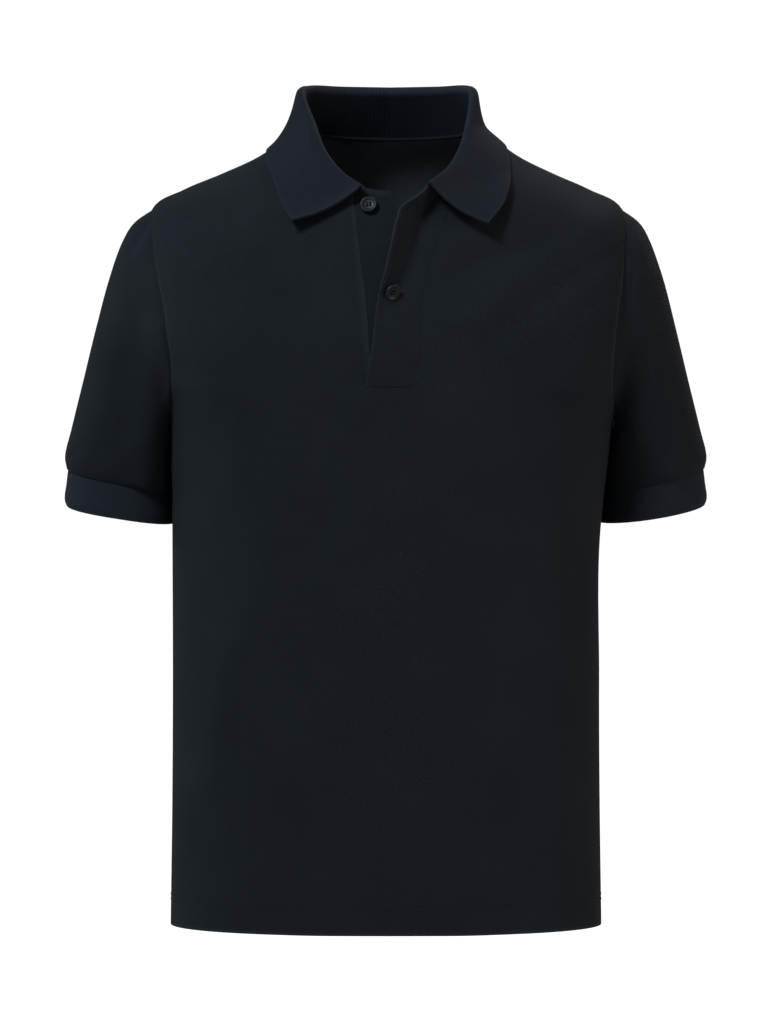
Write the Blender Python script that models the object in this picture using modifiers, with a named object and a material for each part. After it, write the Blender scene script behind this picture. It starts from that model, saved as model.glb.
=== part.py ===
"""Polo shirt for a child of seven or eight, hollow and filled out as it is worn.

+X is the wearer's left, -Y the front and +Z up. The origin is at the centre of the neck opening,
level with the shoulders. Sizes are in millimetres and become metres when a mesh is made.
"""

import math

import bpy
import numpy as np
from mathutils.bvhtree import BVHTree

MM = 0.001
SEAM_GAP = 0.3

# Cloth
PANEL_THICK = 1.2
HEM_THICK = 2.2
SLEEVE_THICK = 1.2
CUFF_THICK = 1.8
COLLAR_THICK = 1.6
BAND_THICK = 1.7
REST_CLEAR = 0.5
LEAF_CLEAR = 3.2

# How the panels are divided
HEM_TOP_LEVEL = 0.054
BODY_STEPS = 9
ARMHOLE_STEPS = 12
YOKE_STEPS = 5
SIDE_COLUMNS = 12
NOTCH_COLUMNS = 3
BACK_COLUMNS = 22
NOTCH_FROM = 4
ARMHOLE_FRONT_TURN = 27.0
ARMHOLE_BACK_TURN = 30.0

# Materials: sRGB colour, roughness
PIQUE = ((0.115, 0.132, 0.152), 0.9)
RIB = ((0.110, 0.125, 0.145), 0.92)
BUTTON = ((0.125, 0.135, 0.160), 0.35)


def table(columns, rows):
    """Named columns of a table whose first column is its key."""
    return dict(zip(columns.split(), np.array(rows, float).T), key=columns.split()[0])


# The torso: level 0 is the hem, 1 the underarm, 2 the shoulder's end and 3 the neck seam.
BODY = table(
    "level side_z front_z back_z half shift front back power",
    [
        (0.00, -518.5, -519, -518.5, 146.3, 0.0, 90, 86, 2.30),
        (0.25, -436, -436, -436, 145.2, 0.0, 92, 87, 2.30),
        (0.50, -352, -352, -352, 144.8, 0.0, 95, 89, 2.30),
        (0.80, -251, -252, -251, 145.4, 0.3, 99, 93, 2.30),
        (0.92, -211, -216, -212, 147.6, 2.4, 99.5, 95, 2.35),
        (1.00, -184, -190, -187, 150.0, 3.5, 99, 96, 2.45),
        (1.25, -146.5, -157, -150, 156.0, 4.5, 98, 97, 2.75),
        (1.50, -109, -125, -112, 161.5, 4.2, 95, 97, 2.95),
        (1.75, -71.5, -96, -76, 165.0, 2.8, 90, 95, 2.80),
        (2.00, -34, -66, -42, 160.0, 0.8, 84.5, 89, 2.35),
        (2.25, -20, -56, -24, 137.5, 0.5, 82, 83, 2.25),
        (2.50, -9, -46.5, -8, 112.0, 1.2, 80, 76, 2.15),
        (2.75, 3.2, -39, 6, 87.0, 2.0, 77.5, 67, 2.10),
        (3.00, 21.5, -31.5, 19.5, 62.0, 2.5, 75, 55, 2.10),
    ],
)

# Soft folds: a ridge (or, below zero, a trough) from one point to another in the front view.
FRONT_FOLDS = [
    # from x, from z, to x, to z, height, half width
    (138, -52, 60, -112, 3.2, 13),
    (140, -84, 84, -132, 2.4, 11),
    (118, -52, 52, -78, -1.8, 10),
    (-86, -48, -66, -88, 2.2, 12),
    (-140, -120, -96, -168, 2.0, 14),
    (-20, -168, -24, -262, 2.0, 10),
    (30, -190, 44, -300, 1.6, 16),
    (108, -262, 140, -366, 2.4, 13),
    (-112, -330, -138, -430, 2.2, 14),
    (-60, -400, -48, -505, 1.8, 18),
    (64, -410, 52, -512, 1.8, 20),
]
BACK_FOLDS = [
    (120, -60, 40, -120, 2.6, 14),
    (-124, -66, -52, -118, 2.8, 13),
    (-134, -120, -80, -190, 2.2, 15),
    (136, -130, 96, -196, 2.0, 14),
    (-10, -200, -26, -320, 2.4, 16),
    (62, -260, 84, -400, 2.6, 18),
    (-92, -300, -108, -440, 2.4, 18),
    (20, -400, 14, -512, 2.0, 20),
]

# A sleeve from its armhole to the cuff seam: its upper line, the height of its lower one.
SLEEVE_COLUMNS = "along outer_x outer_z inner_z clear mid_y half_depth sag"
SLEEVE = table(
    SLEEVE_COLUMNS,
    [
        (0.00, 160.2, -34.0, -184.0, 1.0, 4, 50.0, 0),
        (0.10, 170.7, -42.8, -189.0, 3.6, 10, 52.0, 0),
        (0.22, 179.8, -54.4, -194.0, 4.0, 15, 54.0, 0),
        (0.38, 189.6, -81.6, -200.0, 3.2, 19, 55.5, 1),
        (0.54, 198.4, -115.0, -206.0, 2.4, 21, 55.0, 2),
        (0.70, 207.0, -149.6, -212.0, 1.8, 23, 53.0, 3),
        (0.86, 215.2, -182.0, -218.5, 1.5, 25, 50.5, 4),
        (0.95, 219.7, -201.0, -222.5, 1.4, 26, 48.6, 4.4),
        (1.00, 218.5, -208.3, -224.0, 1.6, 26, 46.8, 4.5),
    ],
)
CUFF = table(
    SLEEVE_COLUMNS,
    [
        (0.00, 217.5, -208.8, -224.4, 1.8, 26, 46.2, 4.5),
        (0.40, 218.7, -218.5, -232.8, 1.4, 26, 46.6, 4.6),
        (0.90, 219.5, -231.5, -243.6, 1.4, 26, 46.6, 4.8),
        (1.00, 218.5, -233.6, -245.4, 1.8, 26, 46.2, 4.8),
    ],
)

# The collar, from the centre back (0) to its front end (1): its fold and the leaf's lower edge.
COLLAR_COLUMNS = "along fold_x fold_y fold_z edge_x edge_y edge_z roll"
COLLAR_RIGHT = table(
    COLLAR_COLUMNS,
    [
        (0.00, 2.5, 47, 53.0, 2.5, 70, 8.0, 4.5),
        (0.22, -30.0, 41, 52.5, -40.0, 60, 9.0, 4.4),
        (0.40, -51.0, 24, 51.0, -70.0, 32, 9.0, 4.0),
        (0.53, -57.0, 4, 46.5, -82.5, 2, 8.0, 3.6),
        (0.68, -50.0, -22, 24.0, -79.0, -26, -5.5, 3.2),
        (0.80, -42.0, -43, 3.5, -74.5, -48, -20.0, 2.9),
        (0.90, -30.5, -61, -12.0, -69.0, -68, -34.5, 2.6),
        (1.00, -16.2, -77, -22.8, -62.2, -84, -46.2, 2.4),
    ],
)
COLLAR_LEFT = table(
    COLLAR_COLUMNS,
    [
        (0.00, 2.5, 47, 53.0, 2.5, 70, 8.0, 4.5),
        (0.22, 35.0, 41, 52.5, 45.0, 60, 9.0, 4.4),
        (0.40, 55.5, 24, 51.0, 75.0, 32, 9.0, 4.0),
        (0.53, 59.5, 4, 46.0, 84.0, 2, 7.0, 3.6),
        (0.68, 56.0, -22, 22.5, 84.8, -25, -5.0, 3.2),
        (0.80, 50.5, -42, 5.0, 83.2, -50, -18.0, 2.9),
        (0.90, 42.0, -62, -9.5, 78.2, -70, -33.6, 2.6),
        (1.00, 28.8, -82, -21.3, 67.4, -88, -48.6, 2.4),
    ],
)
STAND_STEPS = 3
ROLL_STEPS = 4
LEAF_STEPS = 5
LEAF_BULGE = 3.0
COLLAR_END_X = -16.2
NECK_MIDDLE = np.array([2.5, -8.0, 0.0])
FORWARD = np.array([0.0, -0.99, 0.1])

# The placket by height on the centre front: the notch, the over band and the under band's edge.
# The over band's free edge is raised forward, the more the nearer it is to the neck.
PLACKET = table(
    "height notch_left notch_right over_right over_free over_raise under_right",
    [
        (-165, -10.2, 19.0, 22.0, -14.5, 0.0, 16.0),
        (-150, -10.2, 19.0, 22.0, -12.6, 0.0, 16.0),
        (-130, -11.0, 19.0, 22.0, -9.2, 0.4, 15.5),
        (-110, -12.3, 19.3, 22.3, -7.0, 1.4, 15.0),
        (-94, -14.0, 21.0, 24.0, -3.6, 3.2, 14.0),
        (-76, -16.4, 25.0, 28.0, 1.3, 6.0, 13.0),
        (-60, -18.4, 31.0, 34.0, 5.0, 8.5, 11.0),
        (-49, -20.0, 36.0, 39.0, 7.5, 10.0, 9.5),
        (-38, -21.4, 41.0, 44.0, 13.5, 11.0, 7.5),
        (-31.5, -22.3, 45.0, 48.0, 27.8, 11.0, 3.5),
    ],
)
BAND_COLUMNS = 5
BAND_CURL = 2.2
UNDER_BEHIND = 2.8
UNDER_TUCK = 3.0
UNDER_TOP_RISE = (-1.0, 6.0)

# Buttons: an 18 line shirt button, 11.3 mm wide, with a raised rim round a dish and four holes.
BUTTON_PROFILE = [
    # radius, height: from the middle of the dish over the rim to the middle of the back
    (0, 1.6),
    (3.45, 1.6),
    (4.15, 2.25),
    (4.9, 2.4),
    (5.35, 2.0),
    (5.65, 1.45),
    (5.15, 0.35),
    (4.25, 0),
    (0, 0),
]
BUTTON_SIDES = 24
BUTTON_SHANK = 1.1
BUTTON_HOLES = 4
BUTTON_HOLE_RADIUS = 0.75
BUTTON_HOLE_SIDES = 8
BUTTON_HOLE_DEPTH = 10
BUTTON_HOLE_FROM_CENTRE = 1.45
BUTTON_HOLES_TURN = 52.5
BUTTON_TOP_AT = (-11.3, -36.4)
BUTTON_LOWER_AT = (3.3, -94.0)
AHEAD_Y = -400


def follow(source, name, at):
    """A smooth line through a table's column, read at values of the table's key."""
    keys, values = source[source["key"]], source[name]
    slopes = np.gradient(values, keys)
    i = np.clip(np.searchsorted(keys, at, side="right") - 1, 0, len(keys) - 2)
    span = keys[i + 1] - keys[i]
    t = np.clip((at - keys[i]) / span, 0, 1)
    return (
        values[i] * (1 + 2 * t) * (1 - t) ** 2
        + slopes[i] * span * t * (1 - t) ** 2
        + values[i + 1] * t * t * (3 - 2 * t)
        - slopes[i + 1] * span * t * t * (1 - t)
    )


def unit(vectors):
    return vectors / np.maximum(np.linalg.norm(vectors, axis=-1, keepdims=True), 1e-9)


def body(turn, level):
    """Points on the torso's outer face. A turn of 0 is the centre front, 90 the wearer's left."""
    turn, level = np.broadcast_arrays(np.radians(turn), level)
    sine, cosine = np.sin(turn), np.cos(turn)
    power = follow(BODY, "power", level)
    across = np.sign(sine) * np.abs(sine) ** (2 / power)
    deep = np.abs(cosine) ** (2 / power)
    in_front = cosine > 0
    depth = np.where(in_front, -follow(BODY, "front", level), follow(BODY, "back", level))
    end_z = np.where(in_front, follow(BODY, "front_z", level), follow(BODY, "back_z", level))
    side_z = follow(BODY, "side_z", level)
    x = follow(BODY, "shift", level) + follow(BODY, "half", level) * across
    return np.stack([x, depth * deep, side_z + (end_z - side_z) * deep**1.5], axis=-1)


def turn_at(x, level):
    """The turn at which the front of a section reaches x."""
    share = (x - follow(BODY, "shift", level)) / follow(BODY, "half", level)
    power = follow(BODY, "power", level)
    return np.degrees(np.sign(share) * np.arcsin(np.abs(share) ** (power / 2)))


def row_levels():
    """Each row's level at the sides, where the armhole spaces them, and at the centre."""
    body_rows = np.linspace(HEM_TOP_LEVEL + 0.01, 1, BODY_STEPS + 1)
    even = np.linspace(0, 1, ARMHOLE_STEPS + 1)[1:]
    yoke = 2 + np.linspace(0, 1, YOKE_STEPS + 1)[1:]
    below = np.concatenate([[0, HEM_TOP_LEVEL], body_rows])
    on_oval = 1 + (1 - np.cos(np.pi * even)) / 2
    return np.concatenate([below, on_oval, yoke]), np.concatenate([below, 1 + even, yoke])


SIDE_LEVELS, CENTRE_LEVELS = row_levels()
UNDERARM_ROW = BODY_STEPS + 2
SHOULDER_ROW = UNDERARM_ROW + ARMHOLE_STEPS
NOTCH_ROW = UNDERARM_ROW + NOTCH_FROM


def spread(turn):
    """The level of each row at each turn: evenly spaced by the centre, on the oval at a side."""
    nearness = np.sin(np.radians(turn)) ** 2
    sides, centre = SIDE_LEVELS[:, None], CENTRE_LEVELS[:, None]
    return centre + (sides - centre) * nearness


def armhole_opening():
    """How far, from 0 to 1, each row's edge has drawn back from the side along the armhole."""
    up_the_armhole = (np.arange(len(SIDE_LEVELS)) - UNDERARM_ROW) / ARMHOLE_STEPS
    return np.sin(np.pi * np.clip(up_the_armhole, 0, 1))


def folded(grid, folds):
    """The grid with its soft folds raised along its normals."""
    height = np.zeros(grid.shape[:2])
    seen = grid[..., [0, 2]]
    for from_x, from_z, to_x, to_z, rise, width in folds:
        start, run = np.array([from_x, from_z]), np.array([to_x - from_x, to_z - from_z])
        t = np.clip(((seen - start) @ run) / (run @ run), 0, 1)
        away = np.linalg.norm(seen - start - t[..., None] * run, axis=-1)
        height += rise * np.exp(-((away / width) ** 2))
    return grid + normals(grid) * height[..., None]


def normals(grid, around=False):
    """Unit normals of a grid whose columns run across and whose rows run up, facing out."""
    if around:
        wrapped = np.concatenate([grid[:, -1:], grid, grid[:, :1]], axis=1)
        across = (wrapped[:, 2:] - wrapped[:, :-2]) / 2
    else:
        across = np.gradient(grid, axis=1)
    return unit(np.cross(across, np.gradient(grid, axis=0)))


def front_turns():
    """Turns of the front panel's columns, row by row, with two of them on the notch's edges."""
    edge = 90 - ARMHOLE_FRONT_TURN * armhole_opening()
    heights = follow(BODY, "front_z", CENTRE_LEVELS)
    left = turn_at(follow(PLACKET, "notch_left", heights), CENTRE_LEVELS)
    right = turn_at(follow(PLACKET, "notch_right", heights), CENTRE_LEVELS)
    return np.concatenate(
        [
            np.linspace(-edge, left, SIDE_COLUMNS + 1)[:-1],
            np.linspace(left, right, NOTCH_COLUMNS + 1),
            np.linspace(right, edge, SIDE_COLUMNS + 1)[1:],
        ]
    ).T


def back_turns():
    edge = ARMHOLE_BACK_TURN * armhole_opening()
    return np.linspace(90 + edge, 270 - edge, BACK_COLUMNS + 1).T


def wall(name, outer, inner, look, keep=None, around=False):
    """A closed cloth wall between two grids of points, over the cells that are kept."""
    rows, columns = outer.shape[:2]
    points = np.concatenate([outer.reshape(-1, 3), inner.reshape(-1, 3)])
    under = rows * columns
    faces = []
    for r in range(rows - 1):
        for c in range(columns if around else columns - 1):
            if keep is None or keep[r, c]:
                right = (c + 1) % columns
                corners = ((r, c), (r, right), (r + 1, right), (r + 1, c))
                faces.append([a * columns + b for a, b in corners])
    edges = {(face[i - 1], face[i]) for face in faces for i in range(4)}
    lining = [[under + v for v in reversed(face)] for face in faces]
    rims = [[b, a, under + a, under + b] for a, b in edges if (b, a) not in edges]
    used = sorted({v for face in faces for v in face})
    used += [under + v for v in used]
    place = {v: i for i, v in enumerate(used)}
    mesh = bpy.data.meshes.new(name)
    whole = [[place[v] for v in face] for face in faces + lining + sorted(rims)]
    mesh.from_pydata((points[used] * MM).tolist(), [], whole)
    mesh.shade_smooth()
    mesh.set_sharp_from_angle(angle=math.radians(50))
    return place_object(bpy.data.objects.new(name, mesh), look)


def place_object(obj, look):
    colour, roughness = look
    material = bpy.data.materials.new(obj.name)
    material.use_nodes = True
    shader = material.node_tree.nodes["Principled BSDF"]
    linear = [((c + 0.055) / 1.055) ** 2.4 for c in colour]
    shader.inputs["Base Color"].default_value = (*linear, 1)
    shader.inputs["Roughness"].default_value = roughness
    shader.inputs["Metallic"].default_value = 0
    obj.data.materials.append(material)
    bpy.data.collections["polo_shirt"].objects.link(obj)
    return obj


def tree_of(*grids):
    """The outer faces of the grids, for finding the nearest point on them."""
    points, faces = [], []
    for grid in grids:
        rows, columns = grid.shape[:2]
        first = len(points)
        points += grid.reshape(-1, 3).tolist()
        for r in range(rows - 1):
            for c in range(columns - 1):
                at = first + r * columns + c
                faces.append((at, at + 1, at + columns + 1, at + columns))
    return BVHTree.FromPolygons(points, faces)


def lifted(grid, tree, clear):
    """The grid with each point that is nearer the surface than clear moved out from it."""
    moved = grid.copy().reshape(-1, 3)
    for point in moved:
        near, normal, _, _ = tree.find_nearest(point.tolist())
        short = clear - float(np.dot(point - np.array(near), np.array(normal)))
        if short > 0:
            point += short * np.array(normal)
    return moved.reshape(grid.shape)


def drawn_in(outer, inner, gap, sides):
    """Moves the grids' edges named in sides inwards along the cloth, by a gap."""
    for grid in (outer, inner):
        if "start" in sides:
            grid[:, 0] += gap * unit(grid[:, 1] - grid[:, 0])
        if "end" in sides:
            grid[:, -1] += gap * unit(grid[:, -2] - grid[:, -1])


def armhole_ring(front, back, side):
    """The armhole's points, from the shoulder down the front and up the back."""
    rows = np.arange(UNDERARM_ROW, SHOULDER_ROW + 1)
    if side > 0:
        forward, rearward = front[rows, -1], back[rows, 0]
    else:
        forward, rearward = front[rows, 0], back[rows, -1]
    return np.concatenate([forward[::-1], rearward[1:-1]])


def ring_outward(ring):
    """Directions in the ring's own plane, away from its middle, and the plane's normal."""
    ahead = np.roll(ring, -1, axis=0) - np.roll(ring, 1, axis=0)
    middle = ring.mean(axis=0)
    plane = unit(np.cross(ring - middle, ahead).sum(axis=0))
    outward = unit(np.cross(ahead, plane))
    if np.sum(outward * (ring - middle)) < 0:
        outward = -outward
    return outward, plane * np.sign(plane[0]) * np.sign(middle[0])


def torso_reach(y, z, side):
    """How far the torso's back half reaches sideways, below the underarm, at this y and z."""
    level = np.interp(z, BODY["side_z"][:6], BODY["level"][:6])
    share = 1 - (y / follow(BODY, "back", level)) ** follow(BODY, "power", level)
    reach = follow(BODY, "half", level) * share ** (1 / follow(BODY, "power", level))
    return reach + side * follow(BODY, "shift", level)


def arm_rings(source, alongs, side):
    """Oval rings down a sleeve or a cuff, from the top of each round by the front."""
    turns = np.radians(np.arange(2 * ARMHOLE_STEPS) * 180 / ARMHOLE_STEPS)[:, None]
    rings = []
    for along in alongs:
        row = {name: follow(source, name, along) for name in source if name != "key"}
        reach = torso_reach(row["mid_y"], row["inner_z"], side) + row["clear"]
        high = np.array([row["outer_x"], row["mid_y"], row["outer_z"]])
        low = np.array([reach, row["mid_y"], row["inner_z"]])
        forward = np.array([0, -row["half_depth"], -row["sag"]])
        ring = (high + low) / 2 + np.cos(turns) * (high - low) / 2 + np.sin(turns) * forward
        rings.append(ring * (side, 1, 1))
    return np.array(rings)


def make_sleeve(side, front, back):
    name = "left" if side > 0 else "right"
    armhole = armhole_ring(front, back, side)
    outward, plane = ring_outward(armhole)
    alongs = SLEEVE["along"]
    rings = arm_rings(SLEEVE, alongs, side)
    carry = ((1 - alongs) ** 3)[:, None, None]
    rings = rings + carry * (armhole - rings[0])
    facing = normals(rings, around=True) * side
    facing[0] = outward
    inner = rings - SLEEVE_THICK * facing
    rings[0] += SEAM_GAP * plane
    inner[0] += SEAM_GAP * plane
    torso = tree_of(front[: UNDERARM_ROW + 1], back[: UNDERARM_ROW + 1])
    rings[1:] = lifted(rings[1:], torso, REST_CLEAR)
    make_tube(f"sleeve_{name}", rings, inner, side, PIQUE)

    cuff = arm_rings(CUFF, CUFF["along"], side)
    cuff_inner = cuff - CUFF_THICK * normals(cuff, around=True) * side
    make_tube(f"cuff_{name}", cuff, cuff_inner, side, RIB)


def make_tube(name, outer, inner, side, look):
    """A tube's wall. The wearer's right one runs the other way round, so that it faces out."""
    if side < 0:
        outer, inner = outer[:, ::-1], inner[:, ::-1]
    wall(name, outer, inner, look, around=True)


def torso_walls(front, back):
    """The panels' inner grids, mitred where they meet each other and the sleeves."""
    facing_front, facing_back = normals(front), normals(back)
    for own, other in ((0, -1), (-1, 0)):
        shared = unit(facing_front[:, own] + facing_back[:, other])
        facing_front[:, own] = shared
        facing_back[:, other] = shared
    rows = np.arange(UNDERARM_ROW, SHOULDER_ROW + 1)
    for side, own, other in ((1, -1, 0), (-1, 0, -1)):
        outward, _ = ring_outward(armhole_ring(front, back, side))
        half = ARMHOLE_STEPS
        facing_front[rows, own] = outward[: half + 1][::-1]
        facing_back[rows, other] = np.concatenate([outward[half:], outward[:1]])
    facing_front[-1] = neck_mitre(front[-1], facing_front[-1])
    facing_back[-1] = neck_mitre(back[-1], facing_back[-1])
    thick = np.where(np.arange(len(SIDE_LEVELS)) < 2, HEM_THICK, PANEL_THICK)[:, None, None]
    return front - thick * facing_front, back - thick * facing_back


def make_panels(front, back):
    front_inner, back_inner = torso_walls(front, back)
    front, back = front.copy(), back.copy()
    drawn_in(front, front_inner, SEAM_GAP / 2, ("start", "end"))
    drawn_in(back, back_inner, SEAM_GAP / 2, ("start", "end"))
    keep = np.ones((len(SIDE_LEVELS) - 1, front.shape[1] - 1), bool)
    keep[NOTCH_ROW:, SIDE_COLUMNS : SIDE_COLUMNS + NOTCH_COLUMNS] = False
    wall("front", front, front_inner, PIQUE, keep=keep)
    wall("back", back, back_inner, PIQUE)


def band_grid(from_row, start_x, end_x, columns):
    """Points of the front, across from one x to another in each row, and their normals."""
    levels = CENTRE_LEVELS[from_row:]
    turns = np.linspace(turn_at(start_x, levels), turn_at(end_x, levels), columns + 1).T
    grid = body(turns, levels[:, None])
    grid = folded(grid, FRONT_FOLDS)
    return grid, normals(grid)


def over_band():
    """The over band's outer face, on the panel and rolled forward at its free edge, and normals."""
    heights = follow(BODY, "front_z", CENTRE_LEVELS[NOTCH_ROW - 1 :])
    free = follow(PLACKET, "over_free", heights)
    right = follow(PLACKET, "over_right", heights)
    grid, facing = band_grid(NOTCH_ROW - 1, free, right, BAND_COLUMNS)
    across = np.linspace(1, 0, BAND_COLUMNS + 1) ** BAND_CURL
    raised = follow(PLACKET, "over_raise", heights)[:, None] * across
    return grid + facing * (SEAM_GAP + BAND_THICK) + raised[..., None] * FORWARD, facing


def under_band():
    """The under band's outer face, behind the panel and past the notch's edge."""
    heights = follow(BODY, "front_z", CENTRE_LEVELS[NOTCH_ROW:])
    left = follow(PLACKET, "notch_left", heights) - UNDER_TUCK
    right = follow(PLACKET, "under_right", heights)
    grid, facing = band_grid(NOTCH_ROW, left, right, BAND_COLUMNS)
    grid = grid - facing * UNDER_BEHIND
    top = grid[-1]
    top[:, 2] += np.interp(top[:, 0], (COLLAR_END_X - 5, COLLAR_END_X + 3), UNDER_TOP_RISE)
    return grid, facing


def make_bands():
    for name, (grid, panel_facing) in (("over", over_band()), ("under", under_band())):
        facing = normals(grid)
        facing[-1] = neck_mitre(grid[-1], panel_facing[-1])
        wall(f"placket_{name}", grid, grid - BAND_THICK * facing, PIQUE)


def neck_mitre(points, facing):
    """The direction across the neck seam, between the panel's own and the upright stand's."""
    stand_facing = unit((points - NECK_MIDDLE) * (1, 1, 0))
    return unit(facing + stand_facing)


def neck_line(front, back):
    """The neck seam from the right front end by the back to the left, with its mitres."""
    front_facing, back_facing = normals(front), normals(back)
    level = CENTRE_LEVELS[-1]
    end = body(turn_at(COLLAR_END_X, level), level)
    over, over_facing = over_band()
    notch_right = SIDE_COLUMNS + NOTCH_COLUMNS
    runs = [
        ([end], [front_facing[-1, SIDE_COLUMNS]]),
        (front[-1, SIDE_COLUMNS::-1], front_facing[-1, SIDE_COLUMNS::-1]),
        (back[-1, ::-1][1:-1], back_facing[-1, ::-1][1:-1]),
        (front[-1, :notch_right:-1], front_facing[-1, :notch_right:-1]),
        (over[-1, ::-1], over_facing[-1, ::-1]),
    ]
    points = np.concatenate([run for run, _ in runs])
    return points, neck_mitre(points, np.concatenate([facing for _, facing in runs]))


def collar_alongs(points):
    """Each neck point's share of the way from the centre back to its own front end."""
    steps = np.linalg.norm(np.diff(points, axis=0), axis=1)
    run = np.concatenate([[0], np.cumsum(steps)])
    middle = np.argmax(points[:, 1])
    right = (run[middle] - run[: middle + 1]) / run[middle]
    left = (run[middle + 1 :] - run[middle]) / (run[-1] - run[middle])
    return right, left


def collar_section(neck, fold, edge, roll):
    """One section of the face that shows: up inside the stand, over the roll, down the leaf."""
    up = np.array([0, 0, 1.0])
    down_leaf = edge - fold
    aside = unit(down_leaf * (1, 1, 0))
    angles = np.radians(np.linspace(180, 0, ROLL_STEPS + 1))
    over = [fold + roll * (math.cos(a) * aside + (math.sin(a) - 1) * up) for a in angles]
    stand = [neck + (over[0] - neck) * i / STAND_STEPS for i in range(STAND_STEPS)]
    bulge = unit(np.cross(down_leaf, np.cross(aside, up))) * LEAF_BULGE
    leaf = [
        over[-1] + (edge - over[-1]) * t + bulge * math.sin(math.pi * t)
        for t in np.linspace(0, 1, LEAF_STEPS + 1)[1:]
    ]
    return stand + over + leaf


def make_collar(front, back):
    """The collar's wall, from the neck seam up the stand and down the leaf, all round."""
    seam, mitre = neck_line(front, back)
    upward = unit(np.cross(np.gradient(seam, axis=0), mitre))
    upward *= np.sign(upward[:, 2:])
    seam = seam + SEAM_GAP * upward
    right, left = collar_alongs(seam)
    sections = []
    for i, along in enumerate(np.concatenate([right, left])):
        source = COLLAR_RIGHT if i < len(right) else COLLAR_LEFT
        fold, edge = (
            np.array([follow(source, f"{part}_{axis}", along) for axis in "xyz"])
            for part in ("fold", "edge")
        )
        neck = seam[i] - COLLAR_THICK * mitre[i]
        sections.append(collar_section(neck, fold, edge, follow(source, "roll", along)))
    face = np.array(sections).transpose(1, 0, 2)
    leaf = slice(STAND_STEPS + ROLL_STEPS, None)
    below = tree_of(front, back, over_band()[0])
    face[leaf] = lifted(face[leaf], below, LEAF_CLEAR)
    reverse = face - COLLAR_THICK * normals(face)
    reverse[0] = seam
    wall("collar", face, reverse, RIB)


def make_button(name, at, cloth):
    """A turned button laid on the cloth in front of a point, with its holes cut through."""
    near, normal, _, _ = tree_of(cloth).ray_cast((at[0], AHEAD_Y, at[1]), (0, 1, 0))
    mesh = bpy.data.meshes.new(name)
    points = [(radius * MM, 0, height * MM) for radius, height in BUTTON_PROFILE]
    mesh.from_pydata(points, [(i, i + 1) for i in range(len(points) - 1)], [])
    button = place_object(bpy.data.objects.new(name, mesh), BUTTON)
    turned = button.modifiers.new("turned", "SCREW")
    turned.steps = turned.render_steps = BUTTON_SIDES
    turned.use_merge_vertices = True
    turned.merge_threshold = 0.00001
    turned.use_smooth_shade = True
    out = -normal if normal[1] > 0 else normal
    button.rotation_euler = out.to_track_quat("Z", "Y").to_euler()
    button.location = (near + out * BUTTON_SHANK) * MM
    for i in range(BUTTON_HOLES):
        cut_hole(button, i)


def cut_hole(button, i):
    bpy.ops.mesh.primitive_cylinder_add(
        vertices=BUTTON_HOLE_SIDES, radius=BUTTON_HOLE_RADIUS * MM, depth=BUTTON_HOLE_DEPTH * MM
    )
    cutter = bpy.context.object
    cutter.name = f"{button.name}_hole_{i + 1}"
    turn = math.radians(BUTTON_HOLES_TURN + 360 * i / BUTTON_HOLES)
    away = BUTTON_HOLE_FROM_CENTRE * MM
    cutter.location = (away * math.cos(turn), away * math.sin(turn), 0)
    cutter.parent = button
    cutter.display_type = "WIRE"
    cutter.hide_render = True
    for collection in cutter.users_collection:
        collection.objects.unlink(cutter)
    bpy.data.collections["cutters"].objects.link(cutter)
    cut = button.modifiers.new(f"hole_{i + 1}", "BOOLEAN")
    cut.operation = "DIFFERENCE"
    cut.object = cutter


def start_scene():
    for obj in list(bpy.data.objects):
        bpy.data.objects.remove(obj, do_unlink=True)
    for name in ("polo_shirt", "cutters"):
        collection = bpy.data.collections.new(name)
        bpy.context.scene.collection.children.link(collection)


def main():
    start_scene()
    turns = front_turns()
    front = folded(body(turns, spread(turns)), FRONT_FOLDS)
    turns = back_turns()
    back = folded(body(turns, spread(turns)), BACK_FOLDS)
    for own, other in ((0, -1), (-1, 0)):
        seam = (front[:, own] + back[:, other]) / 2
        joined = np.r_[0 : UNDERARM_ROW + 1, SHOULDER_ROW : len(SIDE_LEVELS)]
        front[joined, own] = seam[joined]
        back[joined, other] = seam[joined]
    make_panels(front, back)
    for side in (1, -1):
        make_sleeve(side, front, back)
    make_bands()
    make_collar(front, back)
    make_button("button_top", BUTTON_TOP_AT, under_band()[0])
    make_button("button_lower", BUTTON_LOWER_AT, over_band()[0])


main()
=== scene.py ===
"""Polo shirt for a child of seven or eight, hollow and filled out as it is worn.

+X is the wearer's left, -Y the front and +Z up, with the origin at the centre of the neck opening.
Sizes are in millimetres, and become metres when a mesh is made. The sections follow the order in
which the shirt is sewn: panels, placket, collar, sleeves, cuffs, buttons, stitching.
"""

import math

import bpy
import numpy as np
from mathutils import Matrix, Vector
from mathutils.bvhtree import BVHTree


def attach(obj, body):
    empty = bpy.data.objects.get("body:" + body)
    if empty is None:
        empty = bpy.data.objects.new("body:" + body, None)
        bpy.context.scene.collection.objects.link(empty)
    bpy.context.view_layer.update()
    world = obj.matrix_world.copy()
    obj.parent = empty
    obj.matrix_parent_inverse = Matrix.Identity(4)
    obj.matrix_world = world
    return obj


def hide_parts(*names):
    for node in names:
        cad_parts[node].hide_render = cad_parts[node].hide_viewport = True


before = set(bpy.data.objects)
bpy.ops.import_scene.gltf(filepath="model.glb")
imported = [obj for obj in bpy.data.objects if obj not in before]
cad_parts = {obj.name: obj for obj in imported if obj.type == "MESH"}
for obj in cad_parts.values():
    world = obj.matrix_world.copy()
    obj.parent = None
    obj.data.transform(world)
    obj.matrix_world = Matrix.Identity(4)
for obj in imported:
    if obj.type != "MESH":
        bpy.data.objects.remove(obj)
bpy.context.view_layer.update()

# ---------------------------------------------------------------------------------------------
# Front panel. One piece of cotton pique from shoulder to hem, cut down the middle of the chest
# for the placket. Its hem is turned up once and sewn. It hangs from the shoulders in soft folds.

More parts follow.
